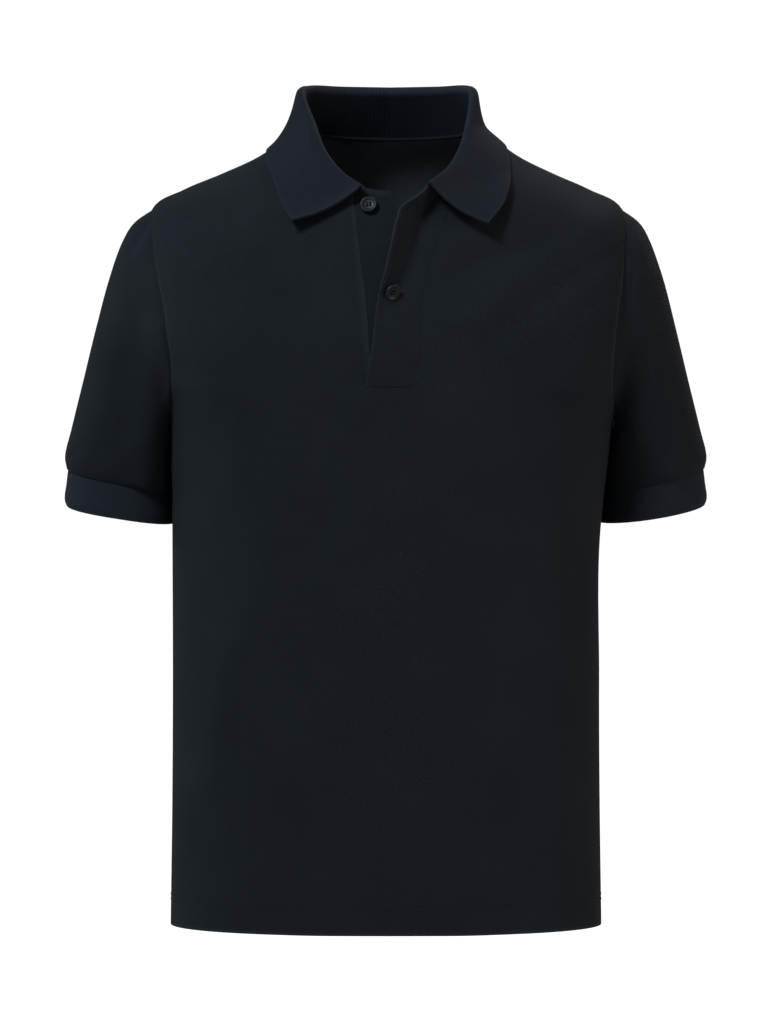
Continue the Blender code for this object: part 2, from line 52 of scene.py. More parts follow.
MM = 0.001
PANEL_THICK = 1.2
HEM_THICK = 2.2
HEM_TOP_LEVEL = 0.054
ARMHOLE_FRONT_TURN = 27.0
# Pieces laid on each other stand a seam gap apart, and pieces sewn edge to edge only a fine line.
SEAM_GAP = 0.3
SEWN_GAP = 0.06
# Sewn edges are drawn in by the stitches, and the seams round the armholes stand up in a welt.
SEAM_SINK = 0.25
SEAM_WIDTH = 1.2
WELT_HEIGHT = 0.4
WELT_WIDTH = 1.8
WELT_FADE = 26
WELT_BELOW_ARM = 12
# How pale the painted highlights along seams and edges are, how far in they reach, and how much
# paler the reverse is painted, as painted light on the shaded inside.
SEAM_HIGHLIGHT = 0.35
EDGE_REACH = 1.6
INSIDE_PAINTED_LIGHT = 4.4


def table(columns, rows):
    """Named columns of a table whose first column is its key."""
    return dict(zip(columns.split(), np.array(rows, float).T), key=columns.split()[0])


# The torso: level 0 is the hem, 1 the underarm, 2 the shoulder's end and 3 the neck seam.
BODY = table(
    "level side_z front_z back_z half shift front back power",
    [
        (0.00, -518.5, -519, -518.5, 146.3, 0.0, 90, 86, 2.30),
        (0.25, -436, -436, -436, 145.2, 0.0, 92, 87, 2.30),
        (0.50, -352, -352, -352, 144.8, 0.0, 95, 89, 2.30),
        (0.80, -251, -252, -251, 145.4, 0.3, 99, 93, 2.30),
        (0.92, -211, -216, -212, 147.6, 2.4, 99.5, 95, 2.35),
        (1.00, -184, -190, -187, 150.0, 3.5, 99, 96, 2.45),
        (1.25, -146.5, -157, -150, 156.0, 4.5, 98, 97, 2.75),
        (1.50, -109, -125, -112, 161.5, 4.2, 95, 97, 2.95),
        (1.75, -71.5, -96, -76, 165.0, 2.8, 90, 95, 2.80),
        (2.00, -34, -66, -42, 160.0, 0.8, 84.5, 89, 2.35),
        (2.25, -20, -56, -24, 137.5, 0.5, 82, 83, 2.25),
        (2.50, -9, -46.5, -8, 112.0, 1.2, 80, 76, 2.15),
        (2.75, 3.2, -39, 6, 87.0, 2.0, 77.5, 67, 2.10),
        (3.00, 21.5, -31.5, 19.5, 62.0, 2.5, 75, 55, 2.10),
    ],
)
# The notch for the placket, and the two bands' edges, by height on the centre front.
PLACKET = table(
    "height notch_left notch_right over_right over_free over_raise under_right",
    [
        (-165, -10.2, 19.0, 22.0, -14.5, 0.0, 16.0),
        (-150, -10.2, 19.0, 22.0, -12.6, 0.0, 16.0),
        (-130, -11.0, 19.0, 22.0, -9.2, 0.4, 15.5),
        (-110, -12.3, 19.3, 22.3, -7.0, 1.4, 15.0),
        (-94, -14.0, 21.0, 24.0, -3.6, 3.2, 14.0),
        (-76, -16.4, 25.0, 28.0, 1.3, 6.0, 13.0),
        (-60, -18.4, 31.0, 34.0, 5.0, 8.5, 11.0),
        (-49, -20.0, 36.0, 39.0, 7.5, 10.0, 9.5),
        (-38, -21.4, 41.0, 44.0, 13.5, 11.0, 7.5),
        (-31.5, -22.3, 45.0, 48.0, 27.8, 11.0, 3.5),
    ],
)
# Soft folds: a ridge (or, below zero, a trough) from one point to another in the front view.
FRONT_FOLDS = [
    # from x, from z, to x, to z, height, half width
    (138, -52, 60, -112, 3.2, 13),
    (140, -84, 84, -132, 2.4, 11),
    (118, -52, 52, -78, -1.8, 10),
    (-86, -48, -66, -88, 2.2, 12),
    (-140, -120, -96, -168, 2.0, 14),
    (-20, -168, -24, -262, 2.0, 10),
    (30, -190, 44, -300, 1.6, 16),
    (104, -262, 122, -350, 2.2, 12),
    (-104, -330, -120, -420, 2.0, 12),
    (25, -40, 10, -92, -2.4, 6.5),
    (-60, -400, -48, -505, 1.8, 18),
    (64, -410, 52, -512, 1.8, 20),
]
# Finer creases, which start at the seams and run out into the cloth.
FRONT_CREASES = [
    (150, -60, 112, -84, 0.9, 5),
    (146, -104, 118, -122, 0.8, 6),
    (-150, -62, -122, -78, 0.7, 6),
    (-148, -150, -116, -166, 0.8, 7),
    (26, -150, 44, -176, 0.7, 7),
    (-14, -166, -34, -196, 0.8, 7),
    (6, -168, 10, -214, -0.7, 6),
    (140, -205, 116, -232, 0.8, 8),
    (-142, -210, -118, -244, 0.7, 8),
    (-80, -250, -92, -330, 0.7, 11),
    (88, -330, 78, -430, 0.7, 12),
]

# How many steps the cloth is divided into, and how near to each seam the first few stand.
NEAR_SEAM = (0.0, 0.005, 0.012, 0.022, 0.036)
BODY_STEPS = 100
ARMHOLE_STEPS = 72
YOKE_STEPS = 30
HEM_STEPS = 8
SIDE_COLUMNS = 58
NOTCH_COLUMNS = 9
NOTCH_FROM = 24


def follow(source, name, at):
    """A smooth line through a table's column, read at values of the table's key."""
    keys, values = source[source["key"]], source[name]
    slopes = np.gradient(values, keys)
    i = np.clip(np.searchsorted(keys, at, side="right") - 1, 0, len(keys) - 2)
    span = keys[i + 1] - keys[i]
    t = np.clip((at - keys[i]) / span, 0, 1)
    return (
        values[i] * (1 + 2 * t) * (1 - t) ** 2
        + slopes[i] * span * t * (1 - t) ** 2
        + values[i + 1] * t * t * (3 - 2 * t)
        - slopes[i + 1] * span * t * t * (1 - t)
    )


def unit(vectors):
    return vectors / np.maximum(np.linalg.norm(vectors, axis=-1, keepdims=True), 1e-9)


def torso(turn, level):
    """Points on the torso's outer face. A turn of 0 is the centre front, 90 the wearer's left."""
    turn, level = np.broadcast_arrays(np.radians(turn), level)
    sine, cosine = np.sin(turn), np.cos(turn)
    power = follow(BODY, "power", level)
    across = np.sign(sine) * np.abs(sine) ** (2 / power)
    deep = np.abs(cosine) ** (2 / power)
    in_front = cosine > 0
    depth = np.where(in_front, -follow(BODY, "front", level), follow(BODY, "back", level))
    end_z = np.where(in_front, follow(BODY, "front_z", level), follow(BODY, "back_z", level))
    side_z = follow(BODY, "side_z", level)
    x = follow(BODY, "shift", level) + follow(BODY, "half", level) * across
    return np.stack([x, depth * deep, side_z + (end_z - side_z) * deep**1.5], axis=-1)


def turn_at(x, level):
    """The turn at which the front of a section reaches x."""
    share = (x - follow(BODY, "shift", level)) / follow(BODY, "half", level)
    power = follow(BODY, "power", level)
    return np.degrees(np.sign(share) * np.arcsin(np.abs(share) ** (power / 2)))


def shares(steps, seam_at_start=False, seam_at_end=False):
    """Shares from 0 to 1, even but for a few close together by a seam."""
    first = np.array(NEAR_SEAM if seam_at_start else (0.0,))
    last = 1 - np.array(NEAR_SEAM if seam_at_end else (0.0,))[::-1]
    between = np.linspace(first[-1], last[0], steps + 3 - len(first) - len(last))[1:-1]
    return np.concatenate([first, between, last])


def row_levels():
    """Each row's level at the sides, where the armhole spaces them, and at the centre."""
    hem = np.linspace(0, HEM_TOP_LEVEL, HEM_STEPS + 1)
    body_rows = np.linspace(HEM_TOP_LEVEL + 0.004, 1, BODY_STEPS + 1)
    even = np.linspace(0, 1, ARMHOLE_STEPS + 1)[1:]
    yoke = 2 + shares(YOKE_STEPS, seam_at_end=True)[1:]
    below = np.concatenate([hem, body_rows])
    on_oval = 1 + (1 - np.cos(np.pi * even)) / 2
    return np.concatenate([below, on_oval, yoke]), np.concatenate([below, 1 + even, yoke])


SIDE_LEVELS, CENTRE_LEVELS = row_levels()
UNDERARM_ROW = HEM_STEPS + BODY_STEPS + 1
SHOULDER_ROW = UNDERARM_ROW + ARMHOLE_STEPS
NOTCH_ROW = UNDERARM_ROW + NOTCH_FROM


def spread(turn):
    """The level of each row at each turn: evenly spaced by the centre, on the oval at a side."""
    nearness = np.sin(np.radians(turn)) ** 2
    sides, centre = SIDE_LEVELS[:, None], CENTRE_LEVELS[:, None]
    return centre + (sides - centre) * nearness


def armhole_opening():
    """How far, from 0 to 1, each row's edge has drawn back from the side along the armhole."""
    up_the_armhole = (np.arange(len(SIDE_LEVELS)) - UNDERARM_ROW) / ARMHOLE_STEPS
    return np.sin(np.pi * np.clip(up_the_armhole, 0, 1))


def normals(grid, around=False):
    """Unit normals of a grid whose columns run across and whose rows run up, facing out."""
    if around:
        wrapped = np.concatenate([grid[:, -1:], grid, grid[:, :1]], axis=1)
        across = (wrapped[:, 2:] - wrapped[:, :-2]) / 2
    else:
        across = np.gradient(grid, axis=1)
    return unit(np.cross(across, np.gradient(grid, axis=0)))


def fold_height(seen, folds):
    """How high the folds stand at each point of a front view."""
    height = np.zeros(seen.shape[:2])
    for from_x, from_z, to_x, to_z, rise, width in folds:
        start, run = np.array([from_x, from_z]), np.array([to_x - from_x, to_z - from_z])
        t = np.clip(((seen - start) @ run) / (run @ run), 0, 1)
        away = np.linalg.norm(seen - start - t[..., None] * run, axis=-1)
        height += rise * np.exp(-((away / width) ** 2))
    return height


def folded(grid, folds):
    """The grid with its soft folds raised along its normals."""
    return grid + normals(grid) * fold_height(grid[..., [0, 2]], folds)[..., None]


def eased(t):
    """A share from 0 to 1 with a gentle start and end."""
    return t * t * (3 - 2 * t)


def run_along(grid, axis):
    """How far each point lies along its row or column."""
    steps = np.linalg.norm(np.diff(grid, axis=axis), axis=-1)
    first = np.zeros_like(np.take(steps, [0], axis=axis))
    return np.concatenate([first, np.cumsum(steps, axis=axis)], axis=axis)


def sunk(grid):
    """A panel drawn in along its sides and its top, as seams pull the cloth down."""
    across, up = run_along(grid, 1), run_along(grid, 0)
    nearest = np.minimum.reduce([across, across[:, -1:] - across, up[-1:] - up])
    sink = SEAM_SINK * np.exp(-((nearest / SEAM_WIDTH) ** 2))
    return grid - normals(grid) * sink[..., None]


def cloth_marks(grid, middle=0):
    """Each point's place on the flat cloth, in metres: across from one column, and up."""
    across = run_along(grid, 1)
    across = across - across[:, middle : middle + 1]
    up = run_along(grid, 0)
    return np.stack([across, up], axis=-1) * MM


def edge_highlight(grid, *edges, reach):
    """A painted highlight: a mark of 0 to 1 that is strongest along the named free edges."""
    across, up = run_along(grid, 1), run_along(grid, 0)
    away = {
        "left": across,
        "right": across[:, -1:] - across,
        "bottom": up,
        "top": up[-1:] - up,
    }
    mark = np.zeros(grid.shape[:2])
    for edge in edges:
        mark = np.maximum(mark, np.exp(-((away[edge] / reach) ** 2)))
    return mark


def cloth_wall(
    name, outer, inner, marks, material, painted_light_mark=None, inside_painted_light=0.0, keep=None, around=False
):
    """A closed wall of cloth between two grids, with its cloth marks as a UV map. Its first mark is
    painted light: paler as painted highlights, darker as painted shade. Its second is how much
    paler the reverse is painted, as light on the shaded inside."""
    rows, columns = outer.shape[:2]
    r, c = np.mgrid[0 : rows - 1, 0 : columns if around else columns - 1]
    kept = np.ones(r.shape, bool) if keep is None else keep
    r, c = r[kept], c[kept]
    wide = marks.shape[1]

    def corners(width, wrap):
        beyond = (c + 1) % width if wrap else c + 1
        above = r + 1
        return np.stack(
            [r * width + c, r * width + beyond, above * width + beyond, above * width + c], 1
        )

    face, mark = corners(columns, around), corners(wide, False)
    under = rows * columns
    starts, ends = face, np.roll(face, -1, axis=1)
    forward, reverse = starts * under + ends, ends * under + starts
    edge = ~np.isin(forward, reverse)
    a, b = starts[edge], ends[edge]
    mark_a, mark_b = mark[edge], np.roll(mark, -1, axis=1)[edge]
    faces = np.concatenate([face, under + face[:, ::-1], np.stack([b, a, under + a, under + b], 1)])
    uv_at = np.concatenate([mark, mark[:, ::-1], np.stack([mark_b, mark_a, mark_a, mark_b], 1)])
    points = np.concatenate([outer.reshape(-1, 3), inner.reshape(-1, 3)])
    used, place = np.unique(faces, return_inverse=True)
    mesh = bpy.data.meshes.new(name)
    mesh.from_pydata((points[used] * MM).tolist(), [], place.reshape(faces.shape).tolist())
    layer = mesh.uv_layers.new(name="cloth")
    layer.data.foreach_set("uv", marks.reshape(-1, 2)[uv_at.ravel()].ravel())
    painted_light = mesh.attributes.new("painted_light", "FLOAT", "POINT")
    # The mark is painted light: paler for painted highlights, darker for painted shade, and the
    # reverse painted paler still.
    flat_painted_light = np.zeros(under) if painted_light_mark is None else painted_light_mark.ravel()
    painted_light.data.foreach_set("value", np.concatenate([flat_painted_light, flat_painted_light + inside_painted_light])[used])
    mesh.shade_smooth()
    mesh.set_sharp_from_angle(angle=math.radians(50))
    mesh.materials.append(material)
    piece = bpy.data.objects.new(name, mesh)
    bpy.context.collection.objects.link(piece)
    return piece


def new_group(name, inputs, outputs):
    """An empty shader node group with its named sockets, and its two end nodes."""
    group = bpy.data.node_groups.new(name, "ShaderNodeTree")
    for socket, kind, value in inputs:
        made = group.interface.new_socket(socket, in_out="INPUT", socket_type=kind)
        if value is not None:
            made.default_value = value
    for socket, kind in outputs:
        group.interface.new_socket(socket, in_out="OUTPUT", socket_type=kind)
    return group, group.nodes.new("NodeGroupInput"), group.nodes.new("NodeGroupOutput")


def math_node(tree, operation, *values, clamp=False):
    """A Math node whose inputs are numbers or other sockets."""
    node = tree.nodes.new("ShaderNodeMath")
    node.operation = operation
    node.use_clamp = clamp
    for socket, value in zip(node.inputs, values):
        if isinstance(value, bpy.types.NodeSocket):
            tree.links.new(value, socket)
        else:
            socket.default_value = value
    return node.outputs[0]


def make_pique_knit():
    """The knit's small raised diamonds, a little irregular, with the fuzz of brushed cotton."""
    tree, given, result = new_group(
        "pique_knit",
        [
            ("Cloth", "NodeSocketVector", None),
            ("Across", "NodeSocketFloat", 0.00150),
            ("Up", "NodeSocketFloat", 0.00125),
            ("Irregular", "NodeSocketFloat", 0.5),
        ],
        [("Height", "NodeSocketFloat")],
    )
    split = tree.nodes.new("ShaderNodeSeparateXYZ")
    tree.links.new(given.outputs["Cloth"], split.inputs[0])
    wobble = tree.nodes.new("ShaderNodeTexNoise")
    wobble.inputs["Scale"].default_value = 420
    wobble.inputs["Detail"].default_value = 2
    tree.links.new(given.outputs["Cloth"], wobble.inputs["Vector"])
    stray = math_node(tree, "SUBTRACT", wobble.outputs["Fac"], 0.5)
    stray = math_node(tree, "MULTIPLY", stray, given.outputs["Irregular"])
    waves = []
    for axis, pitch in (("X", "Across"), ("Y", "Up")):
        turns = math_node(tree, "DIVIDE", split.outputs[axis], given.outputs[pitch])
        turns = math_node(tree, "ADD", turns, stray)
        waves.append(math_node(tree, "COSINE", math_node(tree, "MULTIPLY", turns, 2 * math.pi)))
    cells = math_node(tree, "MULTIPLY", *waves)
    height = math_node(tree, "MULTIPLY_ADD", cells, 0.5, 0.5, clamp=True)
    tree.links.new(math_node(tree, "POWER", height, 0.7), result.inputs["Height"])
    return tree


def make_dyed_cotton():
    """Dyed cotton's colour: soft patches and fibre flecks, with painted light: paler on what is
    raised, and paler or darker by the mesh's mark.
    """
    tree, given, result = new_group(
        "dyed_cotton",
        [
            ("Dye", "NodeSocketColor", (0.012, 0.015, 0.02, 1)),
            ("Pale", "NodeSocketColor", (0.03, 0.036, 0.045, 1)),
            ("Raised", "NodeSocketFloat", 0.0),
            ("Painted Light", "NodeSocketFloat", 0.0),
            ("Place", "NodeSocketVector", None),
        ],
        [("Color", "NodeSocketColor"), ("Roughness", "NodeSocketFloat")],
    )
    patches, fibres = tree.nodes.new("ShaderNodeTexNoise"), tree.nodes.new("ShaderNodeTexNoise")
    for node, scale, detail in ((patches, 16, 3), (fibres, 900, 2)):
        node.inputs["Scale"].default_value = scale
        node.inputs["Detail"].default_value = detail
        tree.links.new(given.outputs["Place"], node.inputs["Vector"])
    soft, fleck = (
        math_node(tree, "MULTIPLY", math_node(tree, "SUBTRACT", node.outputs["Fac"], 0.45), share)
        for node, share in ((patches, 0.2), (fibres, 0.3))
    )
    # Painted light: the knit's raised cells are painted paler, and the mesh's mark adds painted
    # highlights and painted shade.
    raised = math_node(tree, "MULTIPLY", given.outputs["Raised"], 0.45)
    painted_light = math_node(tree, "MULTIPLY", given.outputs["Painted Light"], 0.4)
    cloudy, painted_light_total = math_node(tree, "ADD", soft, fleck), math_node(tree, "ADD", raised, painted_light)
    pale = math_node(tree, "MAXIMUM", math_node(tree, "ADD", cloudy, painted_light_total), 0.0)
    mix = tree.nodes.new("ShaderNodeMix")
    mix.data_type = "RGBA"
    mix.clamp_factor = False
    tree.links.new(pale, mix.inputs["Factor"])
    tree.links.new(given.outputs["Dye"], mix.inputs["A"])
    tree.links.new(given.outputs["Pale"], mix.inputs["B"])
    tree.links.new(mix.outputs["Result"], result.inputs["Color"])
    tree.links.new(math_node(tree, "MULTIPLY_ADD", fleck, -0.1, 0.9), result.inputs["Roughness"])
    return tree


def cotton(name, knit, dye, pale, relief, sheen):
    """A matte cotton material: one knit's relief, the dyed cotton colour and a soft fuzz."""
    material = bpy.data.materials.new(name)
    material.use_nodes = True
    tree = material.node_tree
    shader = tree.nodes["Principled BSDF"]
    cloth = tree.nodes.new("ShaderNodeUVMap")
    cloth.uv_map = "cloth"
    # The mesh's mark of painted light and shade, read into the colour.
    painted_light = tree.nodes.new("ShaderNodeAttribute")
    painted_light.attribute_name = "painted_light"
    texture, colour = tree.nodes.new("ShaderNodeGroup"), tree.nodes.new("ShaderNodeGroup")
    texture.node_tree, colour.node_tree = knit, DYED_COTTON
    tree.links.new(cloth.outputs["UV"], texture.inputs["Cloth"])
    tree.links.new(cloth.outputs["UV"], colour.inputs["Place"])
    tree.links.new(painted_light.outputs["Fac"], colour.inputs["Painted Light"])
    tree.links.new(texture.outputs["Height"], colour.inputs["Raised"])
    colour.inputs["Dye"].default_value = (*dye, 1)
    colour.inputs["Pale"].default_value = (*pale, 1)
    bump = tree.nodes.new("ShaderNodeBump")
    bump.inputs["Strength"].default_value = 1.0
    bump.inputs["Distance"].default_value = relief
    tree.links.new(texture.outputs["Height"], bump.inputs["Height"])
    tree.links.new(bump.outputs["Normal"], shader.inputs["Normal"])
    tree.links.new(colour.outputs["Color"], shader.inputs["Base Color"])
    tree.links.new(colour.outputs["Roughness"], shader.inputs["Roughness"])
    shader.inputs["Specular IOR Level"].default_value = 0.03
    shader.inputs["Sheen Weight"].default_value = sheen
    shader.inputs["Sheen Roughness"].default_value = 0.55
    shader.inputs["Sheen Tint"].default_value = (0.62, 0.78, 1.0, 1)
    return material


DYED_COTTON = make_dyed_cotton()
pique = cotton(
    "navy_pique",
    make_pique_knit(),
    dye=(0.0024, 0.0036, 0.0051),
    pale=(0.0186, 0.0229, 0.0273),
    relief=0.00032,
    sheen=0.005,
)


def front_turns():
    """Turns of the front's columns, row by row, with two of them on the notch's edges."""
    edge = 90 - ARMHOLE_FRONT_TURN * armhole_opening()
    heights = follow(BODY, "front_z", CENTRE_LEVELS)
    left = turn_at(follow(PLACKET, "notch_left", heights), CENTRE_LEVELS)
    right = turn_at(follow(PLACKET, "notch_right", heights), CENTRE_LEVELS)
    from_seam = shares(SIDE_COLUMNS, seam_at_start=True)
    to_seam = shares(SIDE_COLUMNS, seam_at_end=True)
    between = np.linspace(0, 1, NOTCH_COLUMNS + 1)
    return np.concatenate(
        [
            -edge[:, None] + (left + edge)[:, None] * from_seam[:-1],
            left[:, None] + (right - left)[:, None] * between,
            right[:, None] + (edge - right)[:, None] * to_seam[1:],
        ],
        axis=1,
    )


turns = front_turns()
front = folded(torso(turns, spread(turns)), FRONT_FOLDS)
front = folded(front, FRONT_CREASES)

# ---------------------------------------------------------------------------------------------
# Back panel. One piece of the same pique, sewn to the front along the shoulders and the sides.
# It hangs straighter than the front, with folds from the shoulder blades and across the waist.

ARMHOLE_BACK_TURN = 30.0
BACK_COLUMNS = 112
# The neck opening's middle, from which the collar's stand faces outwards.
NECK_MIDDLE = np.array([2.5, -8.0, 0.0])
# The notch's edges are turned under along the bands.
NOTCH_EDGE_SINK = 0.95
NOTCH_EDGE_WIDTH = 2.4
NOT_NOTCH = 99
BACK_FOLDS = [
    (120, -60, 40, -120, 2.6, 14),
    (-124, -66, -52, -118, 2.8, 13),
    (-134, -120, -80, -190, 2.2, 15),
    (136, -130, 96, -196, 2.0, 14),
    (-10, -200, -26, -320, 2.4, 16),
    (62, -260, 84, -400, 2.6, 18),
    (-92, -300, -108, -440, 2.4, 18),
    (20, -400, 14, -512, 2.0, 20),
]
BACK_CREASES = [
    (140, -80, 104, -104, 0.9, 6),
    (-142, -86, -108, -110, 0.9, 6),
    (-140, -190, -104, -226, 0.8, 8),
    (142, -200, 110, -240, 0.8, 8),
    (-30, -20, -52, -62, 0.8, 9),
    (34, -24, 60, -70, 0.7, 9),
    (0, -330, 34, -392, 0.8, 11),
    (-60, -420, -74, -500, 0.8, 12),
]


def back_turns():
    """Turns of the back's columns, row by row, from the wearer's left round to the right."""
    edge = ARMHOLE_BACK_TURN * armhole_opening()
    seamed = shares(BACK_COLUMNS, seam_at_start=True, seam_at_end=True)
    return (90 + edge)[:, None] + (180 - 2 * edge)[:, None] * seamed


def armhole_ring(side):
    """The armhole's points, from the shoulder down the front and up the back."""
    rows = np.arange(UNDERARM_ROW, SHOULDER_ROW + 1)
    if side > 0:
        forward, rearward = front[rows, -1], back[rows, 0]
    else:
        forward, rearward = front[rows, 0], back[rows, -1]
    return np.concatenate([forward[::-1], rearward[1:-1]])


def ring_outward(ring):
    """Directions in the ring's own plane, away from its middle, and the plane's normal."""
    ahead = np.roll(ring, -1, axis=0) - np.roll(ring, 1, axis=0)
    middle = ring.mean(axis=0)
    plane = unit(np.cross(ring - middle, ahead).sum(axis=0))
    outward = unit(np.cross(ahead, plane))
    if np.sum(outward * (ring - middle)) < 0:
        outward = -outward
    return outward, plane * np.sign(plane[0]) * np.sign(middle[0])


def drawn_in(face, gap):
    """Moves a face's two side edges inwards along the cloth, so that a fine line shows between
    sewn panels. Their reverses still meet, so no light comes through."""
    face[:, 0] += gap * unit(face[:, 1] - face[:, 0])
    face[:, -1] += gap * unit(face[:, -2] - face[:, -1])


turns = back_turns()
back = folded(torso(turns, spread(turns)), BACK_FOLDS)
back = folded(back, BACK_CREASES)
for own, other in ((0, -1), (-1, 0)):
    seam = (front[:, own] + back[:, other]) / 2
    joined = np.r_[0 : UNDERARM_ROW + 1, SHOULDER_ROW : len(SIDE_LEVELS)]
    front[joined, own] = seam[joined]
    back[joined, other] = seam[joined]



def neck_mitre(points, facing):
    """The direction across the neck seam, between the panel's own and the upright stand's."""
    stand_facing = unit((points - NECK_MIDDLE) * (1, 1, 0))
    return unit(facing + stand_facing)


def panel_insides():
    """The panels' inner grids, mitred where they meet each other and the sleeves."""
    facing_front, facing_back = normals(front), normals(back)
    for own, other in ((0, -1), (-1, 0)):
        shared = unit(facing_front[:, own] + facing_back[:, other])
        facing_front[:, own] = shared
        facing_back[:, other] = shared
    rows = np.arange(UNDERARM_ROW, SHOULDER_ROW + 1)
    for side, own, other in ((1, -1, 0), (-1, 0, -1)):
        outward, _ = ring_outward(armhole_ring(side))
        half = ARMHOLE_STEPS
        facing_front[rows, own] = outward[: half + 1][::-1]
        facing_back[rows, other] = np.concatenate([outward[half:], outward[:1]])
    facing_front[-1] = neck_mitre(front[-1], facing_front[-1])
    facing_back[-1] = neck_mitre(back[-1], facing_back[-1])
    in_hem = np.arange(len(SIDE_LEVELS)) <= HEM_STEPS
    thick = np.where(in_hem, HEM_THICK, PANEL_THICK)[:, None, None]
    return front - thick * facing_front, back - thick * facing_back


front_inner, back_inner = panel_insides()
front_face = sunk(front)
from_notch = np.linalg.norm(front - front[:, SIDE_COLUMNS : SIDE_COLUMNS + 1], axis=-1)
from_notch[:NOTCH_ROW] = NOT_NOTCH
turned_under = NOTCH_EDGE_SINK * np.exp(-((from_notch / NOTCH_EDGE_WIDTH) ** 2))
front_face = front_face - normals(front) * turned_under[..., None]
back_face = sunk(back)
welts = []
for panel, face in ((front, front_face), (back, back_face)):
    across = run_along(panel, 1)
    welt = np.exp(-((np.minimum(across, across[:, -1:] - across) / WELT_WIDTH) ** 2))
    welt[:UNDERARM_ROW] *= np.linspace(0, 1, UNDERARM_ROW)[:, None] ** WELT_BELOW_ARM
    welt *= eased(np.clip((SHOULDER_ROW - np.arange(len(welt))) / WELT_FADE, 0, 1))[:, None]
    face += normals(panel) * ((WELT_HEIGHT + SEAM_SINK) * welt)[..., None]
    welts.append(welt)
drawn_in(front_face, SEWN_GAP / 2)
drawn_in(back_face, SEWN_GAP / 2)
keep = np.ones((len(SIDE_LEVELS) - 1, front.shape[1] - 1), bool)
keep[NOTCH_ROW:, SIDE_COLUMNS : SIDE_COLUMNS + NOTCH_COLUMNS] = False
centre_column = SIDE_COLUMNS + NOTCH_COLUMNS // 2
# The front is painted paler along its hem, seams, armhole welts and notch, as painted highlights,
# and on its reverse, as light on the shaded inside.
front_piece = cloth_wall(
    "front_panel",
    front_face,
    front_inner,
    cloth_marks(front, centre_column),
    pique,
    painted_light_mark=np.maximum.reduce(
        [
            edge_highlight(front, "bottom", reach=EDGE_REACH),
            SEAM_HIGHLIGHT * edge_highlight(front, "left", "right", reach=EDGE_REACH),
            welts[0],
            np.exp(-((from_notch / EDGE_REACH) ** 2)),
        ]
    ),
    inside_painted_light=INSIDE_PAINTED_LIGHT,
    keep=keep,
)
# The back is painted paler along its hem, seams and armhole welts, as painted highlights, and on
# its reverse, as light on the shaded inside.
back_piece = cloth_wall(
    "back_panel",
    back_face,
    back_inner,
    cloth_marks(back, BACK_COLUMNS // 2),
    pique,
    painted_light_mark=np.maximum.reduce(
        [
            edge_highlight(back, "bottom", reach=EDGE_REACH),
            SEAM_HIGHLIGHT * edge_highlight(back, "left", "right", reach=EDGE_REACH),
            welts[1],
        ]
    ),
    inside_painted_light=INSIDE_PAINTED_LIGHT,
)
for piece, node, flat, area in (
    (front_piece, "front", (0.430, 0.580), 0.198),
    (back_piece, "back", (0.430, 0.600), 0.212),
):
    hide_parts(node)
    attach(piece, "root")

# ---------------------------------------------------------------------------------------------
# Placket. Two doubled bands of pique: the under band, sewn to the wearer's right edge of the
# notch, carries the buttons, and the over band laps it from the left and holds the buttonholes.

BAND_THICK = 1.7
BAND_COLUMNS = 32
BAND_CURL = 1.15
BAND_BELOW_ROWS = 6
# How strong and how wide the painted highlight along each band's free edge is.
BAND_EDGE_HIGHLIGHT = 0.6
BAND_EDGE_REACH = 1.4
# How much further than the solid the over band rolls forward, and how far from its free edge
# the roll ends, both by height.
BAND_LIFT = np.array(
    [(-112.0, 1.0), (-94.0, 1.6), (-76.0, 1.5), (-50.0, 1.4), (-38.0, 1.1), (-33.0, 1.0)]
)
BAND_VALLEY = np.array(
    [(-110.0, 8.0), (-94.0, 10.5), (-85.0, 10.5), (-60.0, 12.5), (-44.0, 15.0), (-32.0, 17.0)]
)
# The over band is pressed thin along its sewn side and its foot, and settles on the panel.
BAND_PRESSED = 1.55
BAND_PRESSED_FROM = 0.30
BAND_PRESSED_OVER = 0.64
BAND_SETTLED = 0.22
BAND_FOOT_SHARE = 0.85
BAND_FOOT_REACH = 5.0
# How far the under band lies behind the front: where it is joined, and beyond, by height.
UNDER_JOINED = 1.36
UNDER_BEHIND = np.array([(-64.0, 1.6), (-44.0, 2.8)])
UNDER_EASED_OVER = 9
UNDER_TUCK = 3.0
UNDER_TOP_RISE = (-1.0, 6.0)
COLLAR_END_X = -16.2
# The way the rolled edge lifts: forward, and a little up.
FORWARD = np.array([0.0, -0.99, 0.1])


def band_grid(from_row, start_x, end_x):
    """Points of the front, across from one x to another in each row, and their normals."""
    levels = CENTRE_LEVELS[from_row:]
    starts, ends = turn_at(start_x, levels), turn_at(end_x, levels)
    across = np.linspace(0, 1, BAND_COLUMNS + 1)
    grid = torso(starts[:, None] + (ends - starts)[:, None] * across, levels[:, None])
    grid = folded(grid, FRONT_FOLDS)
    return grid, normals(grid)


def over_band():
    """The over band's outer face, rolled forward at its free edge, and the panel's normals."""
    foot_row = NOTCH_ROW - BAND_BELOW_ROWS
    heights = follow(BODY, "front_z", CENTRE_LEVELS[foot_row:])
    free = follow(PLACKET, "over_free", heights)
    right = follow(PLACKET, "over_right", heights)
    grid, facing = band_grid(foot_row, free, right)
    rolled = 1 - run_along(grid, 1) / np.interp(heights, *BAND_VALLEY.T)[:, None]
    raised = (follow(PLACKET, "over_raise", heights) * np.interp(heights, *BAND_LIFT.T))[:, None]
    raised = raised * np.clip(rolled, 0, 1) ** BAND_CURL
    return grid + facing * (SEAM_GAP + BAND_THICK) + raised[..., None] * FORWARD, facing


def pressed(across):
    """How far the seam presses the over band down, from none to all along its sewn side."""
    return eased(np.clip((across - BAND_PRESSED_FROM) / BAND_PRESSED_OVER, 0, 1))


